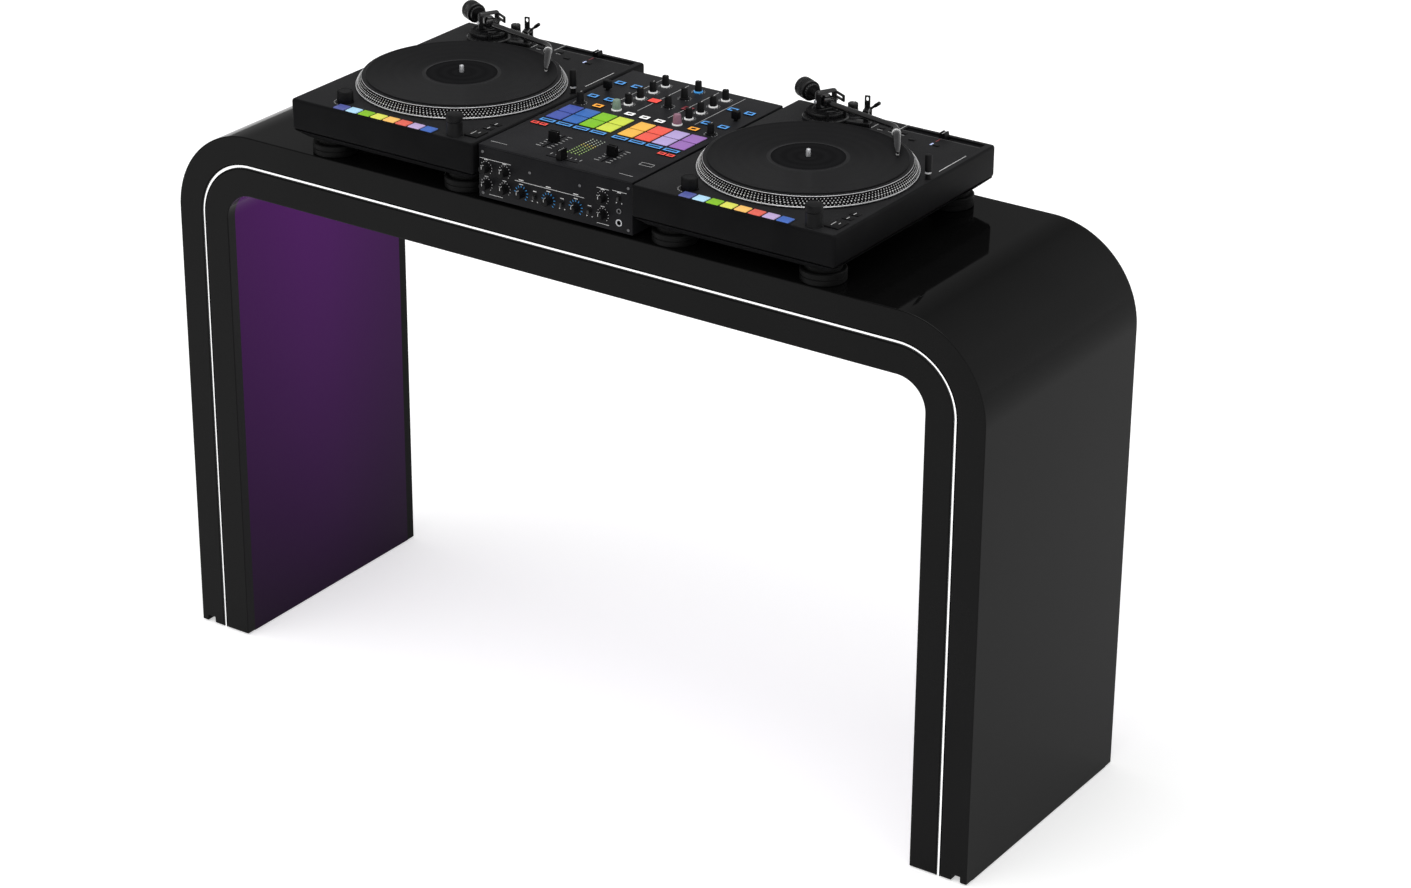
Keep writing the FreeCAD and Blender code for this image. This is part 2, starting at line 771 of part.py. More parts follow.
def tonearm():
    """The S-shaped arm: rear stub, bearing block with its pins, bent tube and collar."""
    pivot, first, second, end = arm_corners()
    bend_start, rear_bend, rear_end = bend_arc(first, arm_rear_heading, arm_middle_heading,
                                               arm_rear_bend_radius)
    head_start, head_bend, head_end = bend_arc(second, arm_middle_heading, arm_head_heading,
                                               arm_head_bend_radius)
    path = Part.Wire([
        Part.makeLine(pivot, bend_start), rear_bend, Part.makeLine(rear_end, head_start), head_bend,
        Part.makeLine(head_end, end),
    ])
    rear = heading(arm_rear_heading)
    ring = across_heading(polygon(arm_tube_facets, arm_tube_radius, 0), arm_rear_heading, pivot)
    tube = path.makePipeShell([Part.makePolygon(ring + ring[:1])], True, False)
    across = heading(arm_rear_heading + 90)
    stub_ring = polygon(arm_tube_facets, arm_stub_radius, 0)
    stub = skinned([across_heading(stub_ring, arm_rear_heading, pivot - rear * arm_stub_length),
                    across_heading(stub_ring, arm_rear_heading, pivot)])
    bearing = centred_block(0, 0, arm_block_length, arm_block_width, arm_height - arm_block_height / 2,
                            arm_height + arm_block_height / 2)
    bearing = turned_about_z(bearing, arm_rear_heading)
    pin_reach = yoke_inner_radius + yoke_wall
    pin_ring = polygon(stem_facets, arm_pin_radius, 0)
    pins = skinned([across_heading(pin_ring, arm_rear_heading + 90, pivot - across * pin_reach),
                    across_heading(pin_ring, arm_rear_heading + 90, pivot + across * pin_reach)])
    head = heading(arm_head_heading)
    collar_ring = polygon(arm_tube_facets, arm_collar_radius, 0)
    collar = skinned([across_heading(collar_ring, arm_head_heading, end - head * arm_collar_length),
                      across_heading(collar_ring, arm_head_heading, end)])
    return joined(bearing, [tube, stub, pins, collar])


def cartridge():
    """A slim one-piece cartridge, sloping down from the collar to its stylus."""
    end = arm_corners()[-1]
    head = heading(arm_head_heading)
    tip_radius = cartridge_radius * cartridge_radius_shares[-1]
    stylus_tip = record_top + stylus_gap
    drop = end.z - stylus_tip - stylus_length - tip_radius
    rings = []
    for place, radius, fall in zip(cartridge_place_shares, cartridge_radius_shares, cartridge_drop_shares):
        centre = end + head * (cartridge_length * place) - UP * (drop * fall)
        ring = polygon(cartridge_facets, cartridge_radius * radius, 0)
        rings.append(across_heading(ring, arm_head_heading, centre))
    shell = skinned(rings)
    tip = end + head * (cartridge_length - tip_radius)
    tip.z = stylus_tip
    needle = faceted([(stylus_tip_radius, 0), (stylus_radius, stylus_length + tip_radius)], stem_facets)
    return joined(shell, [moved(needle, tip)])


def counterweight():
    """The weight and its dial, bored to turn on the arm's rear stub."""
    middle = weight_place + weight_dial_length
    far = middle + weight_length
    weight = faceted([
        (weight_dial_radius, weight_place), (weight_dial_radius, middle), (weight_radius, middle),
        (weight_radius, far),
    ], weight_facets)
    weight = weight.cut(rod(arm_stub_radius + running_gap, Vector(0, 0, 0), UP, far + cut_overrun))
    weight.rotate(Vector(0, 0, 0), AWAY, -90)
    weight = turned_about_z(weight, arm_rear_heading)
    return moved(weight, Vector(0, 0, arm_height))


def yoke_guard():
    """The flat loop on the yoke's far upright that guards the pivot."""
    wall = yoke_guard_wall
    start = yoke_width / 2
    end = start + yoke_guard_reach
    top = arm_height + yoke_inner_radius + yoke_wall - yoke_guard_drop
    foot = top - yoke_guard_height
    slope = yoke_guard_height / 2
    inner_slope = slope - wall * (2 - math.sqrt(2))
    outside = [(start, foot), (end - slope, foot), (end, foot + slope), (end - slope, top), (start, top)]
    inside = [
        (start, foot + wall), (end - wall - inner_slope, foot + wall), (end - wall, foot + slope),
        (end - wall - inner_slope, top - wall), (start, top - wall),
    ]
    near = yoke_inner_radius + (yoke_wall - wall) / 2
    loop = flat([Vector(x, near, z) for x, z in outside]).extrude(AWAY * wall)
    return loop.cut(flat([Vector(x, near, z) for x, z in inside]).extrude(AWAY * wall))


def arm_yoke():
    """The swivelling arch that carries the arm's level pivots."""
    foot = arm_deck_top + slide_gap
    sill = foot + yoke_bar_height
    stem = faceted([(yoke_stem_radius, foot - yoke_stem_length), (yoke_stem_radius, foot)], stem_facets)
    inner = yoke_inner_radius
    outer = inner + yoke_wall
    outer_cut = yoke_shoulder
    inner_cut = yoke_shoulder - yoke_wall * (2 - math.sqrt(2))
    outside = [
        (-outer, foot), (-outer, arm_height + outer - outer_cut), (outer_cut - outer, arm_height + outer),
        (outer - outer_cut, arm_height + outer), (outer, arm_height + outer - outer_cut), (outer, foot),
    ]
    inside = [
        (-inner, sill), (-inner, arm_height + inner - inner_cut), (inner_cut - inner, arm_height + inner),
        (inner - inner_cut, arm_height + inner), (inner, arm_height + inner - inner_cut), (inner, sill),
    ]
    near = -yoke_width / 2
    arch = flat([Vector(near, y, z) for y, z in outside]).extrude(Vector(yoke_width, 0, 0))
    window = flat([Vector(near, y, z) for y, z in inside]).extrude(Vector(yoke_width, 0, 0))
    pivots = rod(arm_pin_radius + running_gap, Vector(0, -outer * 2, arm_height), AWAY, outer * 4)
    yoke = joined(arch.cut(window), [stem, yoke_guard()]).cut(pivots)
    return turned_about_z(yoke, arm_rear_heading)


def rest_place():
    """Where the arm tube lies on its rest, in plan from the pivot, and the tube's heading there."""
    first = arm_corners()[1]
    point = first + heading(arm_middle_heading) * (arm_middle_run * rest_place_share)
    reach = math.hypot(point.x, point.y)
    angle = math.degrees(math.atan2(point.y, point.x)) + swing_out_angle
    return heading(angle) * reach, arm_middle_heading + swing_out_angle


def outrigger(place, height):
    """An arm of the base casting from the pivot to a post."""
    length = math.hypot(place.x, place.y)
    angle = math.degrees(math.atan2(place.y, place.x))
    half = outrigger_width / 2
    return turned_about_z(block(0, length + half, -half, half, 0, height), angle)


def arm_base():
    """The base casting: height ring, lift rail, arm rest, and the seats of the dial and cue lever."""
    rail_top = arm_height - arm_tube_radius - lift_rail_gap
    ring_top = arm_deck_top
    body = faceted([
        (arm_base_radius, 0), (arm_base_radius, arm_base_height), (arm_ring_radius, arm_base_height),
        (arm_ring_radius, ring_top),
    ], arm_base_facets)
    rail_start = arm_rear_heading - swing_in_angle - lift_rail_spare_angle
    rail_sweep = swing_in_angle + swing_out_angle + lift_rail_spare_angle * 2
    rail_inner = lift_rail_radius - lift_rail_wall
    strip = flat([Vector(rail_inner, 0, 0), Vector(lift_rail_radius, 0, 0),
                  Vector(lift_rail_radius, 0, rail_top), Vector(rail_inner, 0, rail_top)])
    rail = turned_about_z(strip.revolve(Vector(0, 0, 0), UP, rail_sweep), rail_start)

    rest, rest_heading = rest_place()
    arm = outrigger(rest, outrigger_height)
    post = centred_block(rest.x, rest.y, rest_post_width, rest_post_width, 0, rail_top - rest_wall)
    prong_near = arm_tube_radius + slide_gap
    prong_far = prong_near + rest_wall
    cradle = block(-rest_length / 2, rest_length / 2, -arm_tube_radius - rest_lip, prong_far,
                   rail_top - rest_wall, rail_top)
    prong_top = arm_height + rest_prong_height
    prong = block(-rest_length / 2, rest_length / 2, prong_near, prong_far, rail_top - rest_wall, prong_top)
    loop_top = prong_top - rest_loop_wall
    eye = block(-rest_loop_width / 2, rest_loop_width / 2, prong_near, prong_far, loop_top - rest_loop_height,
                loop_top)
    clip = moved(turned_about_z(joined(cradle, [prong.cut(eye)]), rest_heading), Vector(rest.x, rest.y, 0))

    dial = heading(antiskate_heading) * antiskate_reach
    dial_arm = outrigger(dial, outrigger_height)
    boss = faceted([(outrigger_width / 2, 0), (outrigger_width / 2, antiskate_boss_height)], small_facets)
    boss = moved(boss, dial)
    dial_well = well(dial.x, dial.y, antiskate_boss_height, antiskate_stem_radius, antiskate_stem_length)

    cue = heading(cue_heading) * cue_reach
    cue_arm = outrigger(cue, outrigger_height)
    post_near = cue_hub_width / 2 + slide_gap
    cue_post = block(-cue_hub_radius, cue_hub_radius, post_near, post_near + cue_post_width, 0,
                     cue_axis_height + cue_hub_radius)
    cue_pin = faceted([(cue_pin_radius, -cue_hub_width / 2), (cue_pin_radius, post_near + cue_post_width)],
                      cue_facets)
    cue_pin.rotate(Vector(0, 0, 0), RIGHT, -90)
    cue_pin.translate(UP * cue_axis_height)
    lever_seat = moved(joined(cue_post, [cue_pin]), Vector(cue.x, cue.y, 0))

    bore_radius = (yoke_stem_radius + running_gap) / math.cos(math.pi / arm_base_facets)
    yoke_bore = faceted([(bore_radius, ring_top - yoke_stem_length), (bore_radius, ring_top + cut_overrun)],
                        arm_base_facets)
    base = joined(body, [rail, arm, post, clip, dial_arm, boss, cue_arm, lever_seat])
    return base.cut([dial_well, yoke_bore])


def antiskate_dial():
    """The dial that sets the arm's side force, turning in its boss."""
    place = heading(antiskate_heading) * antiskate_reach
    dial = knob(antiskate_radius, antiskate_height, antiskate_stem_radius, antiskate_stem_length)
    return moved(dial, Vector(place.x, place.y, antiskate_boss_height))


def cue_lever():
    """The lever that raises the arm, a hub on its pin with a rod and a grip."""
    place = heading(cue_heading) * cue_reach
    half = cue_hub_width / 2
    hub = faceted([(cue_hub_radius, -half), (cue_hub_radius, half)], cue_facets)
    hub.rotate(Vector(0, 0, 0), RIGHT, 90)
    stick_end = cue_rod_length
    stick = faceted([(cue_rod_radius, 0), (cue_rod_radius, stick_end), (cue_grip_radius, stick_end),
                     (cue_grip_radius, stick_end + cue_grip_length)], cue_facets)
    stick.rotate(Vector(0, 0, 0), AWAY, 90 - cue_rest_angle)
    eye = cue_pin_radius + running_gap
    lever = joined(hub, [stick]).cut(block(-eye, eye, -cue_hub_width, cue_hub_width, -eye, eye))
    return moved(lever, Vector(place.x, place.y, cue_axis_height))


def fader_cap(width, depth, height):
    """A fader cap with a waist along its top, on the stem that runs in its slot, set along X."""
    waist = width * pitch_cap_waist_share
    half = width / 2
    points = [
        Vector(-half, 0, slide_gap), Vector(half, 0, slide_gap), Vector(waist / 2, 0, height),
        Vector(0, 0, height - knob_edge), Vector(-waist / 2, 0, height),
    ]
    face = flat(points)
    face.translate(Vector(0, -depth / 2, 0))
    cap = face.extrude(Vector(0, depth, 0))
    stem = centred_block(0, 0, fader_stem_length, fader_stem_width, -fader_stem_depth, height / 2)
    return joined(cap, [stem])


def start_button():
    """The broad start and stop button, sunk in its well."""
    button = centred_block(start_button_x, deck_near + start_button_from_front, start_button_width,
                           start_button_depth, -start_button_sink, start_button_rise)
    return chamfered_top(button, button_chamfer)


def target_light():
    """The pop-up stylus light: a bright sleeve under a dark round head."""
    light = faceted([
        (target_sleeve_radius, -target_light_sink), (target_sleeve_radius, target_sleeve_height),
        (target_light_radius, target_sleeve_height), (target_light_radius, target_light_height),
    ], small_facets)
    return moved(light, Vector(target_light_x, target_light_y, 0))


def deck_buttons():
    """The small square buttons of one deck, seated on its top."""
    buttons = []
    for x, y, width, depth in deck_button_places():
        buttons.append(centred_block(x, y, width, depth, 0, deck_button_rise))
    return buttons


def deck_origin(side):
    """The spindle axis of one deck at the top of its casing."""
    return Vector(side * deck_offset, table_front - front_overhang + spindle_from_front,
                  booth_height + deck_top_height)


def build_decks():
    """Both decks: the fixed pieces as pairs, and each moving piece by itself."""
    origins = {name: deck_origin(side) for name, side in SIDES.items()}
    pivot = Vector(pivot_from_spindle_x, pivot_from_spindle_y, 0)

    strip = pad_mat(pad_strip_x, deck_near + pad_strip_from_front, pad_strip_length - fit_gap * 2,
                    pad_strip_depth - fit_gap * 2, pad_count, 1, 0)
    pairs = {
        "deck_plinths": [deck_plinth()],
        "deck_base_trays": [deck_tray()],
        "deck_feet": deck_feet(),
        "platter_motors": [platter_motor()],
        "tonearm_bases": [moved(arm_base(), pivot)],
        "deck_pad_strips": [strip],
        "deck_buttons": deck_buttons(),
        "target_lights": [target_light()],
    }
    for node, solids in pairs.items():
        save(node, [moved(solid, origin) for origin in origins.values() for solid in solids])

    track = knob(track_knob_radius, track_knob_height, knob_stem_radius, knob_stem_length)
    fader = fader_cap(pitch_cap_width, pitch_cap_depth, pitch_cap_height)
    movers = {
        "platter": platter(),
        "record": record(),
        "arm_yoke": moved(arm_yoke(), pivot),
        "tonearm": moved(tonearm(), pivot),
        "cartridge": moved(cartridge(), pivot),
        "counterweight": moved(counterweight(), pivot),
        "antiskate_dial": moved(antiskate_dial(), pivot),
        "cue_lever": moved(cue_lever(), pivot),
        "pitch_fader": moved(fader, Vector(pitch_slot_x, deck_far - pitch_from_back, 0)),
        "start_button": start_button(),
        "track_knob": moved(track, Vector(track_knob_x, deck_near + track_knob_from_front, 0)),
        "power_knob": moved(power_knob(), Vector(power_knob_x, deck_near + power_knob_from_front, 0)),
    }
    for node, solid in movers.items():
        for name, origin in origins.items():
            save(name + "_" + node, [moved(solid, origin)])


def top_button_places():
    """Centre, width and depth of every square button on the mixer's top."""
    places = []
    bank_y = mixer_depth * wide_button_y_share
    for side in SIDES.values():
        for column in range(pad_columns):
            x = side * mixer_width * pad_bank_x_share + pad_bank_width * ((column + 0.5) / pad_columns - 0.5)
            places.append((x, bank_y, wide_button_width, wide_button_depth))
    for x in small_button_x_shares:
        places.append((mixer_width * x, mixer_depth * small_button_y_share,
                       small_button_width, small_button_depth))
    xs = shift_button_x_shares + outer_button_x_shares
    ys = shift_button_y_shares + outer_button_y_shares
    for x, y in zip(xs, ys):
        places.append((mixer_width * x, mixer_depth * y, shift_button_width, shift_button_depth))
    return places


def front_places(x_shares, z_shares):
    """Points on the front plate's show face."""
    return [Vector(mixer_width * x, 0, mixer_height * z) for x, z in zip(x_shares, z_shares)]


def facing_front(shape, place):
    """A piece drawn standing on its foot, laid over to stand out of the front plate."""
    laid = shape.copy()
    laid.rotate(Vector(0, 0, 0), RIGHT, 90)
    return moved(laid, place)


def paddle():
    """An effects paddle: a head on a stem that rocks on a cross pin under the plate."""
    axis = -paddle_axis_depth
    stem = centred_block(0, 0, paddle_stem_width, paddle_stem_depth, axis - paddle_stem_depth / 2,
                         paddle_head_from_plate + knob_edge)
    foot = paddle_head_depth * pitch_cap_waist_share / 2
    crown = paddle_head_depth / 2
    points = [
        Vector(0, -foot, paddle_head_from_plate), Vector(0, foot, paddle_head_from_plate),
        Vector(0, crown, paddle_head_from_plate + paddle_head_height),
        Vector(0, -crown, paddle_head_from_plate + paddle_head_height),
    ]
    face = flat(points)
    face.translate(Vector(-paddle_head_width / 2, 0, 0))
    head = face.extrude(Vector(paddle_head_width, 0, 0))
    reach = paddle_stem_width / 2 + slide_gap + paddle_lug
    pin = faceted([(paddle_pin_radius, -reach), (paddle_pin_radius, reach)], stem_facets)
    pin.rotate(Vector(0, 0, 0), AWAY, 90)
    return joined(stem, [head, moved(pin, UP * axis)])


def paddle_lugs():
    """The two lugs under the plate that hold one paddle's pin."""
    near = paddle_stem_width / 2 + slide_gap
    lugs = []
    for side in SIDES.values():
        inner = side * near
        outer = side * (near + paddle_lug)
        lug = block(min(inner, outer), max(inner, outer), -paddle_stem_depth, paddle_stem_depth,
                    -top_plate_thickness - paddle_lug_depth, -top_plate_thickness)
        lugs.append(lug)
    return lugs


def build_mixer():
    """The mixer: sheet case, top and front plates, pads, buttons, knobs, faders, paddles and sockets."""
    origin = Vector(0, table_front, booth_height)
    top = Vector(0, 0, mixer_height)
    half = mixer_width / 2

    case = block(-half, half, front_plate_thickness, mixer_depth, mixer_foot_height, plate_under)
    hollow = block(mixer_wall - half, half - mixer_wall, front_plate_thickness - cut_overrun,
                   mixer_depth - mixer_wall, mixer_foot_height + mixer_wall, plate_under + cut_overrun)
    save("mixer_case", [moved(case.cut(hollow), origin)])

    feet = []
    for x in (mixer_foot_inset - half, half - mixer_foot_inset):
        for y in (mixer_foot_inset, mixer_depth - mixer_foot_inset):
            foot = faceted([(mixer_foot_radius, 0), (mixer_foot_radius, mixer_foot_height)], small_facets)
            feet.append(moved(foot, Vector(x, y, 0)))
    save("mixer_feet", [moved(foot, origin) for foot in feet])

    cuts = []
    mats = []
    for side in SIDES.values():
        x = side * mixer_width * pad_bank_x_share
        y = mixer_depth * pad_bank_y_share
        cuts.append(centred_block(x, y, pad_bank_width, pad_bank_depth, plate_under - cut_overrun,
                                  mixer_height + cut_overrun))
        mats.append(pad_mat(x, y, pad_bank_width - fit_gap * 2, pad_bank_depth - fit_gap * 2,
                            pad_columns, pad_rows, mixer_height))
    save("mixer_pads", [moved(mat, origin) for mat in mats])

    buttons = []
    for x, y, width, depth in top_button_places():
        buttons.append(centred_block(x, y, width, depth, mixer_height, mixer_height + button_rise))

    knobs = []
    for x, y in zip(top_knob_x_shares, top_knob_y_shares):
        one = pot_knob(top_knob_radius, top_knob_height, top_knob_collar)
        knobs.append(moved(one, Vector(mixer_width * x, mixer_depth * y, mixer_height)))
    for name, side in SIDES.items():
        place = Vector(side * mixer_width * loop_knob_x_share, mixer_depth * loop_knob_y_share, mixer_height)
        one = knob(loop_knob_radius, loop_knob_height, knob_stem_radius, knob_stem_length)
        save(name + "_loop_knob", [moved(one, place + origin)])
        cuts.append(well(place.x, place.y, place.z, knob_stem_radius, knob_stem_length))

    slot_length = mixer_fader_travel + fader_stem_length + fader_slot_spare
    slot_width = fader_stem_width + slide_gap * 2
    cap = fader_cap(mixer_cap_length, mixer_cap_width, mixer_cap_height)
    cross = Vector(0, mixer_depth * crossfader_y_share, mixer_height)
    save("crossfader", [moved(cap, cross + origin)])
    cuts.append(centred_block(cross.x, cross.y, slot_length, slot_width, plate_under - cut_overrun,
                              mixer_height + cut_overrun))
    upright = turned_about_z(cap, 90)
    for name, side in SIDES.items():
        place = Vector(side * mixer_width * channel_fader_x_share, mixer_depth * channel_fader_y_share,
                       mixer_height)
        save(name + "_channel_fader", [moved(upright, place + origin)])
        cuts.append(centred_block(place.x, place.y, slot_width, slot_length, plate_under - cut_overrun,
                                  mixer_height + cut_overrun))

    lugs = []
    lever = paddle()
    drop = paddle_axis_depth
    swing = math.tan(math.radians(paddle_tilt)) * drop + paddle_stem_depth / 2 + slide_gap * 2
    for name, side in SIDES.items():
        place = Vector(side * mixer_width * paddle_x_share, mixer_depth * paddle_y_share, mixer_height)
        save(name + "_fx_paddle", [moved(lever, place + origin)])
        cuts.append(centred_block(place.x, place.y, paddle_stem_width + slide_gap * 2, swing * 2,
                                  plate_under - cut_overrun, mixer_height + cut_overrun))
        lugs += [moved(lug, place) for lug in paddle_lugs()]
        eye = paddle_pin_radius + running_gap
        cuts.append(centred_block(place.x, place.y, paddle_head_width * 2, eye * 2, mixer_height - drop - eye,
                                  mixer_height - drop + eye))

    plate = block(-half, half, 0, mixer_depth, plate_under, mixer_height)
    plate = chamfered_top(plate, plate_edge)
    save("mixer_top_plate", [moved(joined(plate, lugs).cut(cuts), origin)])

    split = half - socket_panel_width
    front = block(-half, split, 0, front_plate_thickness, mixer_foot_height, plate_under)
    panel = block(split, half, 0, front_plate_thickness, mixer_foot_height, plate_under)
    drills = []
    for place in front_places(front_knob_x_shares, front_knob_z_shares):
        knobs.append(facing_front(pot_knob(front_knob_radius, front_knob_height, 0), place))
    save("mixer_knobs", [moved(one, origin) for one in knobs])

    for place in front_places(toggle_x_shares, toggle_z_shares):
        toggle = block(place.x - toggle_width / 2, place.x + toggle_width / 2, -toggle_length,
                       front_plate_thickness, place.z - toggle_height / 2, place.z + toggle_height / 2)
        buttons.append(toggle)
        drills.append(block(place.x - toggle_width / 2 - fit_gap, place.x + toggle_width / 2 + fit_gap,
                            -cut_overrun, front_plate_thickness + cut_overrun,
                            place.z - toggle_height / 2 - fit_gap, place.z + toggle_height / 2 + fit_gap))
    save("mixer_buttons", [moved(button, origin) for button in buttons])

    sockets = []
    hollows = []
    for z_share, bore in zip(jack_z_shares, jack_bore_radii):
        place = Vector(mixer_width * jack_x_share, 0, mixer_height * z_share)
        barrel = bore + jack_wall
        floor = jack_nut_height - jack_bore_length
        nut = faceted([(barrel + jack_nut, 0), (barrel + jack_nut, jack_nut_height)], jack_nut_facets)
        housing = centred_block(0, 0, barrel * 2, barrel * 2, floor - jack_end_wall, 0)
        hollow = rod(bore, Vector(0, 0, floor), UP, jack_bore_length + cut_overrun)
        sockets.append(facing_front(joined(nut, [housing]), place))
        hollows.append(facing_front(hollow, place))
    save("mixer_jacks", [moved(joined(panel.cut(drills), sockets).cut(hollows), origin)])
    save("mixer_front_plate", [moved(front.cut(drills), origin)])


build_table()
build_lighting()
build_decks()
build_mixer()
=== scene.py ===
import math
import bpy
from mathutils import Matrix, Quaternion, Vector


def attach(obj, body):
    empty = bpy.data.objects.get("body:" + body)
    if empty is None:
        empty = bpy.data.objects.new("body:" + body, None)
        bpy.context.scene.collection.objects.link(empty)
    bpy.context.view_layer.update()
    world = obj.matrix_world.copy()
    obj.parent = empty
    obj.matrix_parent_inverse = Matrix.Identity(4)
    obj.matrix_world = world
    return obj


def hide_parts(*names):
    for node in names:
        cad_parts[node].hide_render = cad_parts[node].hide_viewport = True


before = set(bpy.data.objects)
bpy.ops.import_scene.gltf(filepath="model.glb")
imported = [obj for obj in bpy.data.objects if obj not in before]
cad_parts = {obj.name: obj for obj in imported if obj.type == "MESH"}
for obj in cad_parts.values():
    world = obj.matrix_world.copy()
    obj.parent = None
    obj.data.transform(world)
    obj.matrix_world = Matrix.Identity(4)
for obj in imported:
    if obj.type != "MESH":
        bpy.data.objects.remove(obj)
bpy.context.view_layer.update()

# Outer skin, front boards and rear board of the table.
# Fibreboard bent over both corners, lacquered black and polished to a mirror.
# Each board is drawn as a section at the left foot, run up, turned, and run down again.
mm = 0.001
table_half = 750 * mm
table_front = -218.5 * mm
skin_front = -200.5 * mm
skin_back = 213.5 * mm
table_back = 231.5 * mm
arch_thickness = 100 * mm
skin_thickness = 12 * mm
glide_height = 2 * mm
bend_x = 600 * mm
bend_z = 750 * mm
bend_steps = 28
sharp_angle = math.radians(35)


def deselect_all():
    """Leaves nothing selected, so that the next operator acts on the new piece alone."""
    bpy.ops.object.select_all(action="DESELECT")


def take(piece):
    """Makes one piece the only selected and active object."""
    deselect_all()
    bpy.context.view_layer.objects.active = piece
    piece.select_set(True)


def named(name):
    """Names the primitive that was just added and puts its place into its mesh."""
    piece = bpy.context.object
    piece.name = name
    piece.data.name = name
    bpy.ops.object.transform_apply(location=True, rotation=True, scale=True)
    return piece


def edit(piece):
    """Opens one piece in edit mode with all of it selected."""
    take(piece)
    bpy.ops.object.mode_set(mode="EDIT")
    bpy.ops.mesh.select_all(action="SELECT")


def close_edit():
    """Turns the faces outwards, leaves edit mode and smooths all but the sharp edges."""
    bpy.ops.mesh.select_all(action="SELECT")
    bpy.ops.mesh.normals_make_consistent(inside=False)
    bpy.ops.object.mode_set(mode="OBJECT")
    bpy.ops.object.shade_smooth_by_angle(angle=sharp_angle)


def extrude(step):
    """Extrudes what is selected by one step."""
    bpy.ops.mesh.extrude_region_move(TRANSFORM_OT_translate={"value": step})


def arch_board(name, outer, inner, near, far):
    """A board that follows the arch, between two insets from its outside and two depths."""
    deselect_all()
    middle = (-table_half + (outer + inner) / 2, (near + far) / 2, glide_height)
    bpy.ops.mesh.primitive_plane_add(size=1, location=middle)
    bpy.context.object.scale = (inner - outer, far - near, 1)
    piece = named(name)
    edit(piece)
    leg = bend_z - glide_height
    extrude((0, 0, leg))
    bpy.ops.mesh.spin(steps=bend_steps, angle=-math.pi / 2, center=(-bend_x, 0, bend_z), axis=(0, 1, 0))
    extrude((bend_x * 2, 0, 0))
    bpy.ops.mesh.spin(steps=bend_steps, angle=-math.pi / 2, center=(bend_x, 0, bend_z), axis=(0, 1, 0))
    extrude((0, 0, -leg))
    close_edit()
    return piece


def soften(piece, width, steps, chosen=None):
    """Rounds the sharp edges of a piece, all of them or those whose middle is chosen."""
    take(piece)
    bpy.ops.object.mode_set(mode="EDIT")
    bpy.ops.mesh.select_mode(type="EDGE")
    bpy.ops.mesh.select_all(action="DESELECT")
    bpy.ops.mesh.edges_select_sharp(sharpness=sharp_angle)
    bpy.ops.object.mode_set(mode="OBJECT")
    mesh = piece.data
    if chosen:
        for edge in mesh.edges:
            ends = [mesh.vertices[i].co for i in edge.vertices]
            edge.select = edge.select and chosen((ends[0] + ends[1]) / 2)
    bpy.ops.object.mode_set(mode="EDIT")
    bpy.ops.mesh.bevel(offset=width, segments=steps, affect="EDGES", clamp_overlap=True)
    close_edit()


def box_between(name, low, high):
    """A box between two corners, ready to be shaped."""
    deselect_all()
    low, high = Vector(low), Vector(high)
    bpy.ops.mesh.primitive_cube_add(size=1, location=(low + high) / 2)
    bpy.context.object.scale = high - low
    return named(name)


def cut_away(piece, cutter):
    """Cuts one shape out of a piece and removes the cutter."""
    take(piece)
    modifier = piece.modifiers.new("cut", "BOOLEAN")
    modifier.operation = "DIFFERENCE"
    modifier.solver = "EXACT"
    modifier.object = cutter
    bpy.ops.object.modifier_apply(modifier=modifier.name)
    bpy.data.objects.remove(cutter, do_unlink=True)
    bpy.ops.object.shade_smooth_by_angle(angle=sharp_angle)


def tone(code):
    """A colour written as six hex digits, as the shader's numbers."""
    shares = [int(code[i:i + 2], 16) / 255 for i in (0, 2, 4)]
    return tuple(c / 12.92 if c <= 0.04045 else ((c + 0.055) / 1.055) ** 2.4 for c in shares)


def new_finish(name, metal=0.0, gloss=0.5):
    """A shader with one metal share and specular level, its node tree, and the piece's own coordinates."""
    finish = bpy.data.materials.new(name)
    finish.use_nodes = True
    tree = finish.node_tree
    shader = tree.nodes["Principled BSDF"]
    shader.inputs["Metallic"].default_value = metal
    shader.inputs["Specular IOR Level"].default_value = gloss
    place = tree.nodes.new("ShaderNodeTexCoord").outputs["Object"]
    return finish, tree, shader, place


def mottle(tree, place, scale, detail=3.0):
    """Cloudy noise at one scale."""
    node = tree.nodes.new("ShaderNodeTexNoise")
    node.inputs["Scale"].default_value = scale
    node.inputs["Detail"].default_value = detail
    tree.links.new(place, node.inputs["Vector"])
    return node.outputs["Fac"]


def ranged(tree, value, low, high, first=0.35, last=0.65):
    """A value stretched from one range to another."""
    node = tree.nodes.new("ShaderNodeMapRange")
    node.inputs["From Min"].default_value = first
    node.inputs["From Max"].default_value = last
    node.inputs["To Min"].default_value = low
    node.inputs["To Max"].default_value = high
    tree.links.new(value, node.inputs["Value"])
    return node.outputs["Result"]


def tinted(tree, value, dark, light, first=0.35, last=0.65):
    """A colour that runs from dark to light with a value."""
    node = tree.nodes.new("ShaderNodeValToRGB")
    node.color_ramp.elements[0].position = first
    node.color_ramp.elements[0].color = (*dark, 1)
    node.color_ramp.elements[1].position = last
    node.color_ramp.elements[1].color = (*light, 1)
    tree.links.new(value, node.inputs["Fac"])
    return node.outputs["Color"]


def relief(tree, shader, height, strength, depth):
    """Fine relief on the surface from a height pattern."""
    node = tree.nodes.new("ShaderNodeBump")
    node.inputs["Strength"].default_value = strength
    node.inputs["Distance"].default_value = depth
    tree.links.new(height, node.inputs["Height"])
    tree.links.new(node.outputs["Normal"], shader.inputs["Normal"])


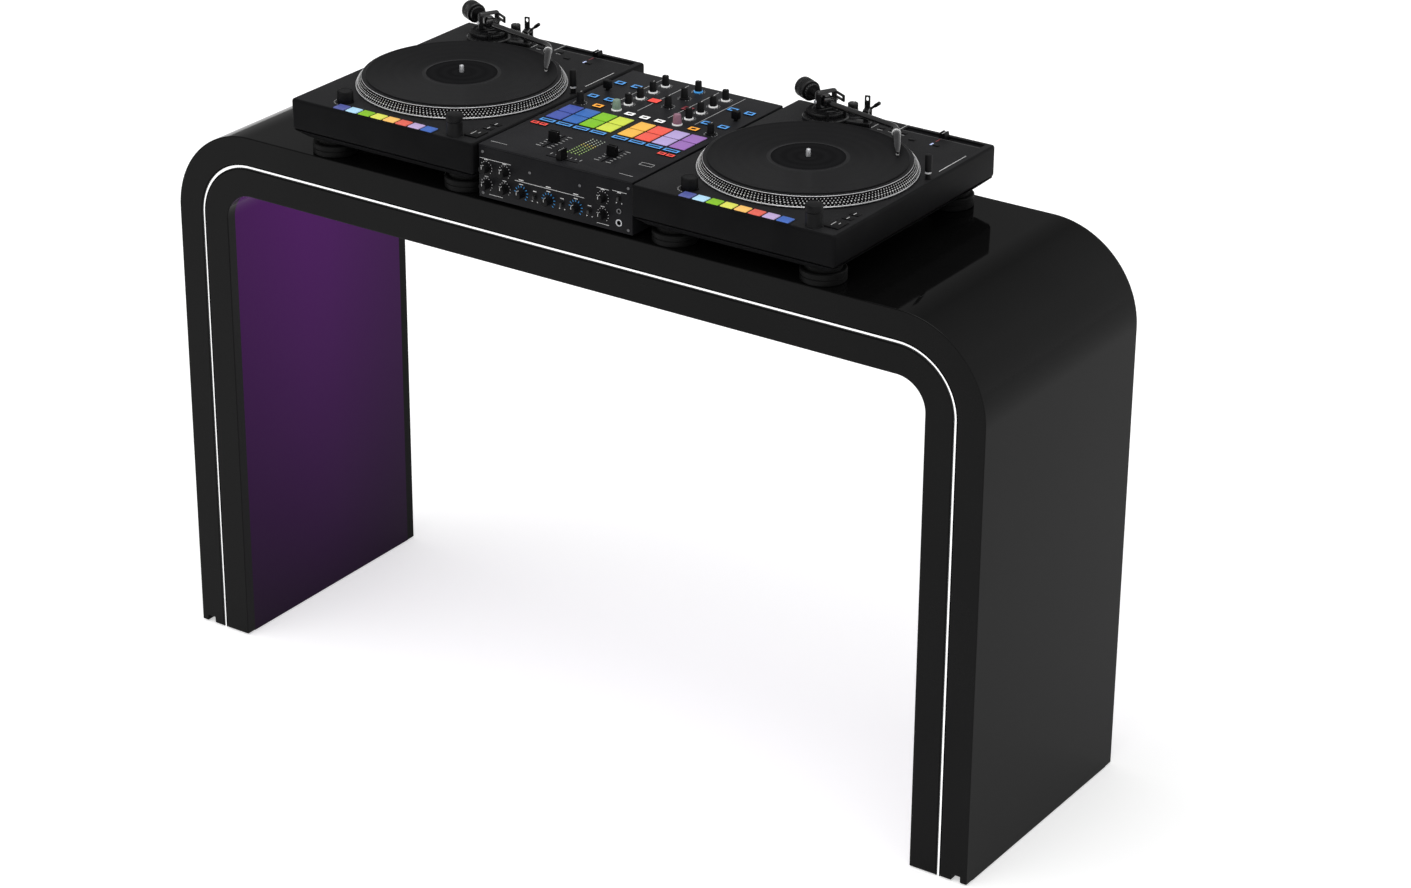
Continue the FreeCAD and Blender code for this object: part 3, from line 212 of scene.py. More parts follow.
def worked_finish(name, dark, light, rough, grain, bump, metal=0.0, gloss=0.5, patches=16):
    """A finish whose colour drifts in soft patches and whose grain shows in its gloss and relief."""
    finish, tree, shader, place = new_finish(name, metal, gloss)
    drift = mottle(tree, place, patches)
    fine = mottle(tree, place, grain)
    tree.links.new(tinted(tree, drift, tone(dark), tone(light)), shader.inputs["Base Color"])
    tree.links.new(ranged(tree, fine, *rough), shader.inputs["Roughness"])
    relief(tree, shader, fine, bump, 0.3 * mm)
    return finish


def dress(piece, *finishes):
    """Gives a piece its finishes, in slot order."""
    piece.data.materials.clear()
    for finish in finishes:
        piece.data.materials.append(finish)


def choose_faces(piece, finish_of):
    """Sets each face's finish from the place of its middle."""
    for face in piece.data.polygons:
        face.material_index = finish_of(face.center)


def fit(piece, body, slot, *nodes):
    """Fixes a piece to the body it moves with, and hides the nodes it stands for; the finish slot is not
    used.
    """
    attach(piece, body)
    if nodes:
        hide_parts(*nodes)


def lacquer(name, gloss, rough):
    """Polished black lacquer with a faint haze in its gloss and a trace of dust in its surface."""
    finish, tree, shader, place = new_finish(name, gloss=gloss)
    haze = mottle(tree, place, 5.0, 4.0)
    tree.links.new(tinted(tree, haze, tone("0b0b0b"), tone("0e0e0e")), shader.inputs["Base Color"])
    tree.links.new(ranged(tree, haze, *rough), shader.inputs["Roughness"])
    relief(tree, shader, mottle(tree, place, 900.0, 1.0), 0.02, 0.1 * mm)
    return finish


skin_lacquer = lacquer("skin_lacquer", 0.06, (0.05, 0.1))
front_lacquer = lacquer("front_lacquer", 0.12, (0.1, 0.16))
slit_from = 46 * mm
slit_to = 54 * mm
groove_x = 730.5 * mm
groove_half = 7.5 * mm
groove_height = 12 * mm
board_edge = 1.4 * mm
face_depth = 1.2 * mm
foot_zone = 20 * mm
outer_skin = arch_board("table_outer_skin", 0, skin_thickness, skin_front, skin_back)
front_outer = arch_board("table_front_outer", 0, slit_from, table_front, skin_front)
front_inner = arch_board("table_front_inner", slit_to, arch_thickness, table_front, skin_front)
rear_board = arch_board("table_rear_board", 0, arch_thickness, skin_back, table_back)
for board in (front_outer, rear_board):
    for side in (-1, 1):
        groove = box_between("groove", (side * groove_x - groove_half, table_front - mm, 0),
                             (side * groove_x + groove_half, table_back + mm, groove_height))
        cut_away(board, groove)
for board in (front_outer, front_inner):
    soften(board, board_edge, 3, lambda p: p.y < table_front + mm / 2 and p.z > foot_zone)
soften(rear_board, board_edge, 3, lambda p: p.y > table_back - mm / 2 and p.z > foot_zone)
dress(outer_skin, skin_lacquer)
dress(front_outer, front_lacquer, skin_lacquer)
choose_faces(front_outer, lambda p: int(p.y > table_front + face_depth))
dress(front_inner, front_lacquer)
dress(rear_board, front_lacquer, skin_lacquer)
choose_faces(rear_board, lambda p: int(p.y < table_back - face_depth))
for board, node in ((outer_skin, "outer_skin"), (front_outer, "front_panel_outer"),
                    (front_inner, "front_panel_inner"), (rear_board, "rear_panel")):
    fit(board, "booth", "gloss_board", node)

# Inner skin of the arch, under the light bar below the top.
# The same black lacquer, with the purple light of the bar painted into it as a glow down both legs.
# The painted glow is strongest under the top and at the middle of the depth.


def combined(tree, operation, first, second):
    """Two values brought together by one operation."""
    node = tree.nodes.new("ShaderNodeMath")
    node.operation = operation
    tree.links.new(first, node.inputs[0])
    tree.links.new(second, node.inputs[1])
    return node.outputs["Value"]


painted_glow_purple = (0.62, 0.02, 1.0, 1)
inner_skin = arch_board("table_inner_skin", arch_thickness - skin_thickness, arch_thickness,
                        skin_front, skin_back)
painted_glow_lacquer = lacquer("painted_glow_lacquer", 0.07, (0.16, 0.24))
tree = painted_glow_lacquer.node_tree
shader = tree.nodes["Principled BSDF"]
axes = tree.nodes.new("ShaderNodeSeparateXYZ")
tree.links.new(tree.nodes["Texture Coordinate"].outputs["Object"], axes.inputs["Vector"])
# Painted light: a purple emission that fades down the legs and towards the front and back edges.
painted_glow_down_leg = ranged(tree, axes.outputs["Z"], 0.012, 0.1, 0.0, 0.8)
across = tree.nodes.new("ShaderNodeMath")
across.operation = "ABSOLUTE"
tree.links.new(axes.outputs["Y"], across.inputs[0])
painted_glow_across = ranged(tree, across.outputs["Value"], 1.0, 0.72, 0.03, 0.21)
shader.inputs["Emission Color"].default_value = painted_glow_purple
tree.links.new(combined(tree, "MULTIPLY", painted_glow_down_leg, painted_glow_across), shader.inputs["Emission Strength"])
dress(inner_skin, painted_glow_lacquer)
fit(inner_skin, "booth", "gloss_board", "inner_skin")

# Ribs, foot plates and glides inside and under the arch.
# Bare fibreboard ribs glued between the skins, with felt glides pinned under the foot plates.
# They are hidden when the booth stands, so the solids stay and only take their finish.
raw_board = worked_finish("raw_board", "7a6245", "9b8260", (0.7, 0.85), 400.0, 0.3, patches=30)
glide_felt = worked_finish("glide_felt", "161616", "242424", (0.85, 0.95), 1200.0, 0.5, patches=90)


def keep_node(node, *finishes):
    """Keeps a solid as it is and gives it a finish."""
    dress(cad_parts[node], *finishes)


keep_node("rib_frame", raw_board)
keep_node("base_plates", raw_board)
keep_node("floor_glides", glide_felt)

# Light line in the front of the arch.
# A flexible white diffuser pressed behind the lips of a dark anodised channel between the front boards.
# The diffuser runs the whole arch in one length, a little back from the face of the boards.
dark_anodised = worked_finish("dark_anodised", "0c0c0d", "151516", (0.35, 0.5), 700.0, 0.1, metal=0.6)


def lit_finish(name, code, strength, dark=None):
    """A lit plastic: its own colour, a little uneven, glowing from within."""
    finish = worked_finish(name, dark or code, code, (0.3, 0.45), 500.0, 0.05, patches=120)
    shader = finish.node_tree.nodes["Principled BSDF"]
    shader.inputs["Emission Color"].default_value = (*tone(code), 1)
    shader.inputs["Emission Strength"].default_value = strength
    return finish


def joined(name, pieces):
    """Several pieces made one mesh, each keeping its finishes."""
    deselect_all()
    for piece in pieces:
        piece.select_set(True)
    bpy.context.view_layer.objects.active = pieces[0]
    bpy.ops.object.join()
    whole = bpy.context.object
    whole.name = name
    whole.data.name = name
    return whole


white_glow = lit_finish("white_glow", "ffffff", 0.8, "f2f2f2")
lip_depth = 2.6 * mm
strip_depth = 6 * mm
light_line = arch_board("light_line", 47.2 * mm, 52.8 * mm, table_front + lip_depth,
                        table_front + strip_depth)
dress(light_line, white_glow)
fit(light_line, "booth", "lit_white", "led_diffuser")
lips = []
for lip_from, lip_to in ((46.1, 47.9), (52.1, 53.9)):
    lip = arch_board("channel_lips", lip_from * mm, lip_to * mm, table_front, table_front + lip_depth)
    soften(lip, 0.3 * mm, 1, lambda p: p.y < table_front + mm / 2)
    lips.append(lip)
channel_lips = joined("channel_lips", lips)
dress(channel_lips, dark_anodised)
fit(channel_lips, "booth", "profile_metal")
keep_node("led_channel", dark_anodised)

# Light bar under the top, and its driver in the hollow.
# An aluminium extrusion screwed under the top, closed by a milky strip that glows purple.
# The driver is a closed plastic box on the inner skin.
bar_metal = worked_finish("bar_metal", "8a8b8e", "a3a4a7", (0.3, 0.42), 800.0, 0.1, metal=1.0)
purple_glow = lit_finish("purple_glow", "b43cff", 1.6)
driver_plastic = worked_finish("driver_plastic", "d0d0cc", "e2e2de", (0.4, 0.55), 600.0, 0.1)
keep_node("underglow_bar", bar_metal)
keep_node("underglow_lens", purple_glow)
keep_node("led_driver", driver_plastic)

# Deck casings and their sloping bottom trays.
# Moulded bodies in black, the top face in a satin, lighter copy of the paint as painted light from above,
# with a sunk strip for the speed fader at the back.
# The left deck is modelled first, and each fixed piece is then copied to the right deck.
deck_x = -322 * mm
deck_y = -23.5 * mm
deck_z = 991 * mm
deck_step = Vector((644 * mm, 0, 0))
casing_half = 176.5
casing_near = -205
casing_far = 248
casing_deep = 51
casing_paint = worked_finish("casing_paint", "111112", "151516", (0.42, 0.56), 1500.0, 0.16, gloss=0.045)
# The top paint is a lighter copy of the casing paint: painted light falling on the top faces.
top_paint_painted_light = worked_finish("top_paint_painted_light", "1d1d1e", "212122", (0.42, 0.56), 1500.0, 0.16, gloss=0.08)


def on_deck(x, y, z=0.0):
    """A point of the left deck in millimetres from its spindle, at the height of the casing's top."""
    return Vector((deck_x + x * mm, deck_y + y * mm, deck_z + z * mm))


def copied(piece, name, step):
    """A copy of a piece with its own mesh, moved by one step."""
    copy = piece.copy()
    copy.data = piece.data.copy()
    copy.name = name
    copy.data.name = name
    bpy.context.scene.collection.objects.link(copy)
    take(copy)
    copy.location = step
    bpy.ops.object.transform_apply(location=True, rotation=False, scale=False)
    return copy


def both_decks(name, piece):
    """A fixed piece of the left deck and its copy on the right one, as one mesh."""
    return joined(name, [piece, copied(piece, name + "_right", deck_step)])


def soft_block(name, low, high, edge, steps=2, corner=0.0, corner_steps=6):
    """A block with soft edges, and with round upright corners where these are asked for."""
    piece = box_between(name, low, high)
    if corner:
        middle = (Vector(low).z + Vector(high).z) / 2
        reach = (Vector(high).z - Vector(low).z) / 4
        soften(piece, corner, corner_steps, lambda p: abs(p.z - middle) < reach)
    if edge:
        soften(piece, edge, steps)
    return piece


def corners(spot, x, y, width, depth, low, high):
    """Two opposite corners of a block about a spot of the deck or the mixer, in millimetres."""
    return spot(x - width / 2, y - depth / 2, low), spot(x + width / 2, y + depth / 2, high)


casing = box_between("deck_casings", on_deck(-casing_half, casing_near, -casing_deep),
                     on_deck(casing_half, casing_far))
casing_middle = deck_z - casing_deep * mm / 2
soften(casing, 5 * mm, 6, lambda p: abs(p.z - casing_middle) < 5 * mm)
soften(casing, 1.5 * mm, 4, lambda p: p.z > deck_z - mm)
soften(casing, 1.0 * mm, 2, lambda p: p.z < deck_z - (casing_deep - 1) * mm)
speed_x = 96.5
speed_y = 230
trough = soft_block("trough", *corners(on_deck, speed_x, speed_y, 136, 15, -4, 9), 0.6 * mm, 2, 1.5 * mm)
cut_away(casing, trough)
cut_away(casing, box_between("slot", *corners(on_deck, speed_x, speed_y, 108, 3.6, -12, 4)))
# Top faces take the lighter copy: painted light from above.
dress(casing, casing_paint, top_paint_painted_light)
choose_faces(casing, lambda p: int(p.z > deck_z - 0.5 * mm))
casings = both_decks("deck_casings", casing)
fit(casings, "booth", "deck_casing", "deck_plinths")
keep_node("deck_base_trays", casing_paint)

# Deck feet.
# Black rubber rings moulded over a threaded neck, with one groove round the middle.
# Turned from a disc, ring by ring, and copied to the four corners of each deck.
foot_rubber = worked_finish("foot_rubber", "0a0a0a", "0e0e0e", (0.5, 0.68), 1100.0, 0.2, gloss=0.12)


def turned(name, centre, rings, facets=64, ribs=0, rib_depth=0.05):
    """A piece turned about an upright axis through rings of radius and height, from the bottom up."""
    deselect_all()
    radius, height = rings[0]
    middle = centre + Vector((0, 0, height * mm))
    bpy.ops.mesh.primitive_circle_add(vertices=ribs * 2 or facets, radius=radius * mm, fill_type="NGON",
                                      location=middle)
    piece = named(name)
    if ribs:
        edit(piece)
        bpy.ops.mesh.select_mode(type="VERT")
        bpy.ops.mesh.select_all(action="DESELECT")
        bpy.ops.object.mode_set(mode="OBJECT")
        for vertex in piece.data.vertices:
            vertex.select = vertex.index % 2 == 0
        bpy.ops.object.mode_set(mode="EDIT")
        groove = 1 - rib_depth
        bpy.ops.transform.resize(value=(groove, groove, 1), center_override=middle)
        bpy.ops.object.mode_set(mode="OBJECT")
    edit(piece)
    bpy.ops.mesh.select_mode(type="FACE")
    bpy.ops.mesh.select_all(action="SELECT")
    for (last_radius, last_height), (radius, height) in zip(rings, rings[1:]):
        extrude((0, 0, (height - last_height) * mm))
        if radius != last_radius:
            share = radius / last_radius
            middle = centre + Vector((0, 0, height * mm))
            bpy.ops.transform.resize(value=(share, share, 1), center_override=middle)
    close_edit()
    return piece


foot_x = 259
foot_y = 359
foot_rings = [(33.4, -91), (35, -89.6), (35, -82.2), (34, -81.6), (34, -80.4), (35, -79.8), (35, -73.4),
              (33.6, -72), (28, -72), (28, -63)]
feet = [turned("deck_feet", on_deck(-foot_x / 2, -158), foot_rings)]
for step_x, step_y in ((foot_x, 0), (0, foot_y), (foot_x, foot_y)):
    feet.append(copied(feet[0], "foot", Vector((step_x * mm, step_y * mm, 0))))
foot_set = joined("deck_feet", feet)
dress(foot_set, foot_rubber)
fit(both_decks("deck_feet", foot_set), "booth", "deck_rubber", "deck_feet")

# Platters with their strobe rims, on the motors in the casings.
# Cast aluminium, painted black on the slope, with two bright edges and four rows of bright dots; the dots
# are pale paint, a painted glint in place of polished metal.
# The body is turned in one, and each row of dots is one dot spun round the spindle.
bright_metal = worked_finish("bright_metal", "c4c5c8", "dcdde0", (0.22, 0.34), 900.0, 0.05, metal=0.45)
rim_metal = worked_finish("rim_metal", "dadadc", "ececee", (0.25, 0.36), 900.0, 0.05, metal=0.2)
# The dots are pale paint, a painted glint where the real dots are polished metal.
dots_painted_glint = worked_finish("dots_painted_glint", "e6e6e6", "f6f6f6", (0.3, 0.4), 900.0, 0.05)
rim_paint = worked_finish("rim_paint", "060606", "090909", (0.45, 0.6), 900.0, 0.1, gloss=0.04)
motor_steel = worked_finish("motor_steel", "54565a", "6a6c70", (0.35, 0.5), 600.0, 0.1, metal=1.0)
keep_node("platter_motors", motor_steel)


def from_spindle(point, spindle_x=deck_x):
    """Distance of a point from a deck's spindle, the left one's unless another is given, in millimetres."""
    return math.hypot(point.x - spindle_x, point.y - deck_y) / mm


def height_on_deck(point):
    """Height of a point above the casing's top, in millimetres."""
    return (point.z - deck_z) / mm


hub_radius = 61.9
slope_foot = 165.2
slope_run = 8.3
slope_low = 3.8
slope_rise = 12.3
platter_rings = [(6, -18), (6, 10.5), (hub_radius, 10.5), (hub_radius, 1.5), (165.0, 1.5), (166, 2.2),
                 (166, 3.3), (slope_foot, slope_low), (slope_foot - slope_run, slope_low + slope_rise),
                 (157.0, 16.5), (156.6, 17.0), (155.4, 17.5), (150, 17.5)]
platter = turned("left_platter", on_deck(0, 0), platter_rings, 160)


def platter_finish(point):
    """The finish of a platter's face: metal on its two edges, the lighter top paint on top as painted
    light, and dark paint elsewhere.
    """
    height = height_on_deck(point)
    if from_spindle(point) < hub_radius + 0.1:
        return 0
    if height > 16.9:
        return 2
    return int(2.0 < height < 3.7 or height > 16.2)


dress(platter, rim_paint, rim_metal, top_paint_painted_light)
choose_faces(platter, platter_finish)
dot_rows = []
for share, count, size in ((0.10, 172, 0.85), (0.33, 176, 1.35), (0.56, 180, 0.95), (0.79, 184, 0.85)):
    deselect_all()
    dot_place = on_deck(slope_foot - slope_run * share, 0, slope_low + slope_rise * share)
    bpy.ops.mesh.primitive_uv_sphere_add(segments=6, ring_count=4, radius=size * mm, location=dot_place)
    row = named("dots")
    edit(row)
    turn = math.tau / count
    bpy.ops.mesh.spin(steps=count - 1, dupli=True, angle=turn * (count - 1), center=on_deck(0, 0),
                      axis=(0, 0, 1))
    close_edit()
    dot_rows.append(row)
dots = joined("dots", dot_rows)
dress(dots, dots_painted_glint)
spindle_rings = [(3.4, 17), (3.4, 20), (3.6, 20), (3.6, 29.4), (3.1, 30.7), (1.8, 31.5)]
spindle = turned("spindle", on_deck(0, 0), spindle_rings, 32)
dress(spindle, bright_metal)


def fit_pair(piece, part, body, slot, node=None):
    """Fits a moving piece of the left deck and its copy on the right one, each to its own body."""
    node = node or part
    fit(copied(piece, "right_" + part, deck_step), "right_" + body, slot, "right_" + node)
    fit(piece, "left_" + body, slot, "left_" + node)


platter = joined("left_platter", [platter, dots, spindle])
fit_pair(platter, "platter", "platter_set", "platter_metal")

# Records.
# Pressed vinyl with a raised rim, a grooved band, a smooth run-out ring and a plain paper label.
# Turned in one; the grooves follow rings about each deck's own spindle.
run_out_edge = 61.9
label_edge = 56.1


def ring_wave(tree, place, scale, distortion):
    """A wave pattern of rings about the upright axis."""
    node = tree.nodes.new("ShaderNodeTexWave")
    node.wave_type = "RINGS"
    node.rings_direction = "Z"
    node.inputs["Scale"].default_value = scale
    node.inputs["Distortion"].default_value = distortion
    tree.links.new(place, node.inputs["Vector"])
    return node


def vinyl_finish(name, spindle_x, dark, light, rough, gloss, ring_scale, strength):
    """Vinyl with rings about one spindle."""
    finish, tree, shader, place = new_finish(name, gloss=gloss)
    centre = tree.nodes.new("ShaderNodeMapping")
    centre.inputs["Location"].default_value = (-spindle_x, -deck_y, -deck_z)
    tree.links.new(place, centre.inputs["Vector"])
    rings = ring_wave(tree, centre.outputs["Vector"], ring_scale, 0.0)
    bands = ring_wave(tree, centre.outputs["Vector"], 17.0, 1.5)
    bands.inputs["Detail Scale"].default_value = 0.2
    tree.links.new(tinted(tree, bands.outputs["Fac"], tone(dark), tone(light), 0.0, 1.0),
                   shader.inputs["Base Color"])
    tree.links.new(ranged(tree, rings.outputs["Fac"], *rough, 0.0, 1.0), shader.inputs["Roughness"])
    relief(tree, shader, rings.outputs["Fac"], strength, 0.05 * mm)
    return finish


def record_zone(point, spindle_x):
    """The zone of a record's face: the grooves, the run-out ring or the label."""
    reach = from_spindle(point, spindle_x)
    return int(reach < run_out_edge) + int(reach < label_edge)


record_rings = [(149.6, 17.5), (150.8, 18.1), (150.8, 18.8), (149.8, 19.5), (147.2, 19.3), (146.6, 19.1),
                (61.8, 19.1), (61.2, 18.9), (56.6, 18.9), (56.0, 19.3), (55.2, 19.5), (17.0, 19.5),
                (16.6, 19.35), (16.0, 19.35), (15.6, 19.5), (4.2, 19.5)]
record = turned("left_record", on_deck(0, 0), record_rings, 160)
right_record = copied(record, "right_record", deck_step)
for piece, side, spindle_x in ((record, "left", deck_x), (right_record, "right", -deck_x)):
    grooves = vinyl_finish(side + "_grooves", spindle_x, "161617", "19191a", (0.36, 0.5), 0.05, 320.0, 0.25)
    run_out = vinyl_finish(side + "_run_out", spindle_x, "242425", "282829", (0.3, 0.4), 0.05, 60.0, 0.05)
    label = vinyl_finish(side + "_label", spindle_x, "1b1b1c", "1f1f20", (0.6, 0.75), 0.0, 90.0, 0.05)
    dress(piece, grooves, run_out, label)
    choose_faces(piece, lambda p: record_zone(p, spindle_x))
    fit(piece, side + "_platter_set", "vinyl", side + "_record")

# Tonearm bases with their height ring, lift rail, arm rest and lever posts.
# One black casting screwed to the casing, with a ribbed ring and a thin curved rail.
# Turned and built up about the pivot, then joined.
arm_rear = -28
arm_middle = -12
rear_run = 24
middle_run = 129.6
arm_parked = 32
rest_share = 0.32
dial_angle = 60
dial_reach = 47
cue_angle = 36
cue_reach = 64
post_angle = 20
rail_reach = 32.75
rail_from = -56
rail_turn = 68
arm_black = worked_finish("arm_black", "0f0f10", "161617", (0.22, 0.34), 1300.0, 0.1, gloss=0.45)
pivot = on_deck(-89, 188)


def heading(angle):
    """A level direction at an angle in degrees from +X."""
    return Vector((math.cos(math.radians(angle)), math.sin(math.radians(angle)), 0))


def placed(piece, turns, place):
    """Turns a piece made at the origin about X, Y and Z and moves it to its place."""
    take(piece)
    piece.rotation_euler = turns
    piece.location = place
    bpy.ops.object.transform_apply(location=True, rotation=True, scale=True)
    return piece


def turned_to(piece, angle, place):
    """Turns a piece made at the origin to a heading and moves it to its place."""
    return placed(piece, (0, 0, math.radians(angle)), place)


def block_at(name, size, edge, angle, place, lift=0.0):
    """A soft block of one size in millimetres, turned to a heading, with its foot's middle at a place."""
    x, y, z = size
    piece = soft_block(name, (-x * mm / 2, -y * mm / 2, 0), (x * mm / 2, y * mm / 2, z * mm), edge * mm)
    return turned_to(piece, angle, place + Vector((0, 0, lift * mm)))


base_parts = [
    turned("base", pivot, [(36, 0), (36, 8.6), (34.6, 10.2), (31.4, 10.4), (31.4, 12.2)], 72),
    turned("ring", pivot, [(29.6, 12), (30, 12.6), (30, 18.4), (29.4, 19.2)], 72, 54, 0.035),
    turned("ring_top", pivot, [(27.6, 19), (27.6, 20), (21, 20.1), (20.4, 19.4), (15.6, 19.4)], 64),
]
rest_reach = heading(arm_rear) * rear_run + heading(arm_middle) * middle_run * rest_share
rest_angle = math.degrees(math.atan2(rest_reach.y, rest_reach.x)) + arm_parked
rest_place = pivot + heading(rest_angle) * rest_reach.length * mm
spokes = ((rest_angle, rest_reach.length), (dial_angle, dial_reach), (cue_angle, cue_reach))
for angle, reach in spokes:
    spoke = block_at("spoke", (reach + 8, 16, 7), 1.6, angle, pivot + heading(angle) * (reach / 2 + 4) * mm)
    base_parts.append(spoke)
deselect_all()
rail_foot = pivot + heading(rail_from) * rail_reach * mm + Vector((0, 0, 25.6 * mm))
bpy.ops.mesh.primitive_circle_add(vertices=10, radius=1.7 * mm, fill_type="NGON", location=rail_foot,
                                  rotation=(math.pi / 2, 0, math.radians(rail_from)))
rail = named("rail")
edit(rail)
bpy.ops.mesh.spin(steps=18, angle=-math.radians(rail_turn), center=pivot, axis=(0, 0, 1))
close_edit()
base_parts.append(rail)
for angle in (-52, 8):
    post_place = pivot + heading(angle) * rail_reach * mm
    base_parts.append(turned("rail_post", post_place, [(2.0, 10), (2.0, 25)], 16))
base_parts.append(block_at("rest_post", (8, 8, 22), 1.2, post_angle, rest_place))
base_parts.append(block_at("rest_cradle", (9, 17, 3.4), 1.0, post_angle, rest_place, 24.2))
prong = box_between("rest_prong", (-4.5 * mm, -1.5 * mm, 25 * mm), (4.5 * mm, 1.5 * mm, 47 * mm))
soften(prong, 4.2 * mm, 5, lambda p: p.z > 46 * mm and abs(p.y) < mm)
prong_eye = box_between("prong_eye", (-1.9 * mm, -4 * mm, 38.2 * mm), (1.9 * mm, 4 * mm, 44.4 * mm))
soften(prong_eye, 1.8 * mm, 4, lambda p: abs(p.y) < mm)
cut_away(prong, prong_eye)
soften(prong, 0.7 * mm, 2)
base_parts.append(turned_to(prong, post_angle, rest_place + heading(post_angle + 90) * 6.5 * mm))
dial_place = pivot + heading(dial_angle) * dial_reach * mm
base_parts.append(turned("dial_boss", dial_place, [(8.5, 5), (8.5, 12), (7.6, 13)], 40))
cue_place = pivot + heading(cue_angle) * cue_reach * mm
base_parts.append(block_at("cue_post", (8, 5, 20), 1.4, 0, cue_place + Vector((0, 5.6 * mm, 0))))
arm_base = joined("tonearm_bases", base_parts)
dress(arm_base, arm_black)
grey_ink = worked_finish("grey_ink", "5a5a5a", "6c6c6c", (0.5, 0.6), 600.0, 0.03)
base_marks = []
for i in range(9):
    angle = -150 + i * 14
    base_marks.append(block_at("mark", (2.4, 0.6, 0.2), 0, angle, pivot + heading(angle) * 33 * mm, 10.35))
base_ticks = joined("base_ticks", base_marks)
dress(base_ticks, grey_ink)
arm_base = joined("tonearm_bases", [arm_base, base_ticks])
fit(both_decks("tonearm_bases", arm_base), "booth", "arm_casting", "tonearm_bases")

# Arm yokes.
# A black arch with cut shoulders that swivels on the base and carries the arm's level pivots.
# Cut from a block, with a guard loop at one side and a bright pivot screw in each cheek.
arm_height = 33
origin = Vector((0, 0, 0))
yoke = box_between("left_yoke", (-5.5 * mm, -18.5 * mm, 20.3 * mm), (5.5 * mm, 18.5 * mm, 50.5 * mm))
soften(yoke, 9 * mm, 7, lambda p: p.z > 50 * mm and abs(p.y) > 17 * mm)
window = box_between("window", (-9 * mm, -13 * mm, 23.8 * mm), (9 * mm, 13 * mm, 46 * mm))
soften(window, 5 * mm, 6, lambda p: p.z > 45 * mm and abs(p.y) > 12 * mm)
cut_away(yoke, window)
soften(yoke, 1.1 * mm, 2)
guard = box_between("guard", (5 * mm, 13.5 * mm, 36.5 * mm), (29.5 * mm, 17 * mm, 48 * mm))
soften(guard, 5.4 * mm, 6, lambda p: p.x > 29 * mm and abs(p.y - 15.25 * mm) < mm)
guard_eye = box_between("guard_eye", (0, 10 * mm, 39.9 * mm), (26 * mm, 20 * mm, 44.6 * mm))
soften(guard_eye, 2.2 * mm, 5, lambda p: p.x > 25 * mm and abs(p.y - 15 * mm) < mm)
cut_away(guard, guard_eye)
soften(guard, 0.7 * mm, 2)
yoke = joined("left_yoke", [yoke, guard])
dress(yoke, arm_black)
screws = []
for side in (-1, 1):
    screw = turned("pivot_screw", origin, [(3.2, 0), (3.2, 1.2), (2.6, 1.8)], 20)
    dress(screw, bright_metal)
    screw_place = (0, side * 18.3 * mm, arm_height * mm)
    screws.append(placed(screw, (-side * math.pi / 2, 0, 0), screw_place))
yoke = turned_to(joined("left_yoke", [yoke] + screws), arm_rear, pivot)
fit_pair(yoke, "yoke", "yoke", "arm_casting", "arm_yoke")

# Tonearm tubes.
# An S-shaped black tube through a bearing block, with a white-edged locking collar at the head.
# The tube is a disc run along the headings and spun through both bends.
arm_head = -56.5
head_run = 30
rear_bend = 34
head_bend = 30
tube_start = pivot + Vector((0, 0, arm_height * mm))
first_corner = tube_start + heading(arm_rear) * rear_run * mm
second_corner = first_corner + heading(arm_middle) * middle_run * mm
tube_end = second_corner + heading(arm_head) * head_run * mm


def bend_tube(corner, before, after, radius):
    """Spins the tube's open end round one bend."""
    turn = math.radians(after - before)
    cut = radius * math.tan(abs(turn) / 2)
    start = corner - heading(before) * cut * mm
    inside = heading(before + math.copysign(90, turn))
    bpy.ops.mesh.spin(steps=10, angle=-turn, center=start + inside * radius * mm, axis=(0, 0, 1))


def lying(name, place, angle, rings, facets=32, ribs=0, rib_depth=0.05):
    """A turned piece laid level, its axis along a heading from a place."""
    piece = turned(name, origin, rings, facets, ribs, rib_depth)
    return placed(piece, (0, math.pi / 2, math.radians(angle)), place)


ink_white = worked_finish("ink_white", "d8d8d8", "f0f0f0", (0.5, 0.6), 600.0, 0.03)
tube_black = worked_finish("tube_black", "0e0e0f", "141415", (0.1, 0.16), 1300.0, 0.03, gloss=1.0)
deselect_all()
bpy.ops.mesh.primitive_circle_add(vertices=24, radius=4.7 * mm, fill_type="NGON", location=tube_start,
                                  rotation=(0, math.pi / 2, math.radians(arm_rear)))
tube = named("tube")
edit(tube)
rear_cut = rear_bend * math.tan(math.radians(arm_middle - arm_rear) / 2)
head_cut = head_bend * math.tan(math.radians(arm_middle - arm_head) / 2)
extrude(heading(arm_rear) * (rear_run - rear_cut) * mm)
bend_tube(first_corner, arm_rear, arm_middle, rear_bend)
extrude(heading(arm_middle) * (middle_run - rear_cut - head_cut) * mm)
bend_tube(second_corner, arm_middle, arm_head, head_bend)
extrude(heading(arm_head) * (head_run - head_cut) * mm)
close_edit()
stub = lying("stub", tube_start, arm_rear + 180, [(5, 0), (5, 78.6), (4.2, 80)], 24)
block = block_at("bearing", (22, 17, 15), 2.4, arm_rear, tube_start, -7.5)
cap = turned("bearing_cap", tube_start, [(6.6, 7), (6.6, 8.4), (5.8, 9.2)], 32)
collar = lying("collar", tube_end - heading(arm_head) * 13 * mm, arm_head,
               [(5.2, 0), (6.4, 0.8), (6.4, 4.5), (5.9, 4.9), (5.9, 5.5), (6.4, 5.9), (6.4, 12)], 32)
dark_parts = joined("left_tonearm", [tube, stub, block, cap, collar])
dress(dark_parts, tube_black)
collar_edge = lying("collar_edge", tube_end - heading(arm_head) * 3.4 * mm, arm_head,
                    [(6.5, 0), (6.9, 0.4), (6.9, 3.0), (6.5, 3.4)], 32)
dress(collar_edge, ink_white)
tonearm = joined("left_tonearm", [dark_parts, collar_edge])
fit_pair(tonearm, "tonearm", "arm", "arm_metal")

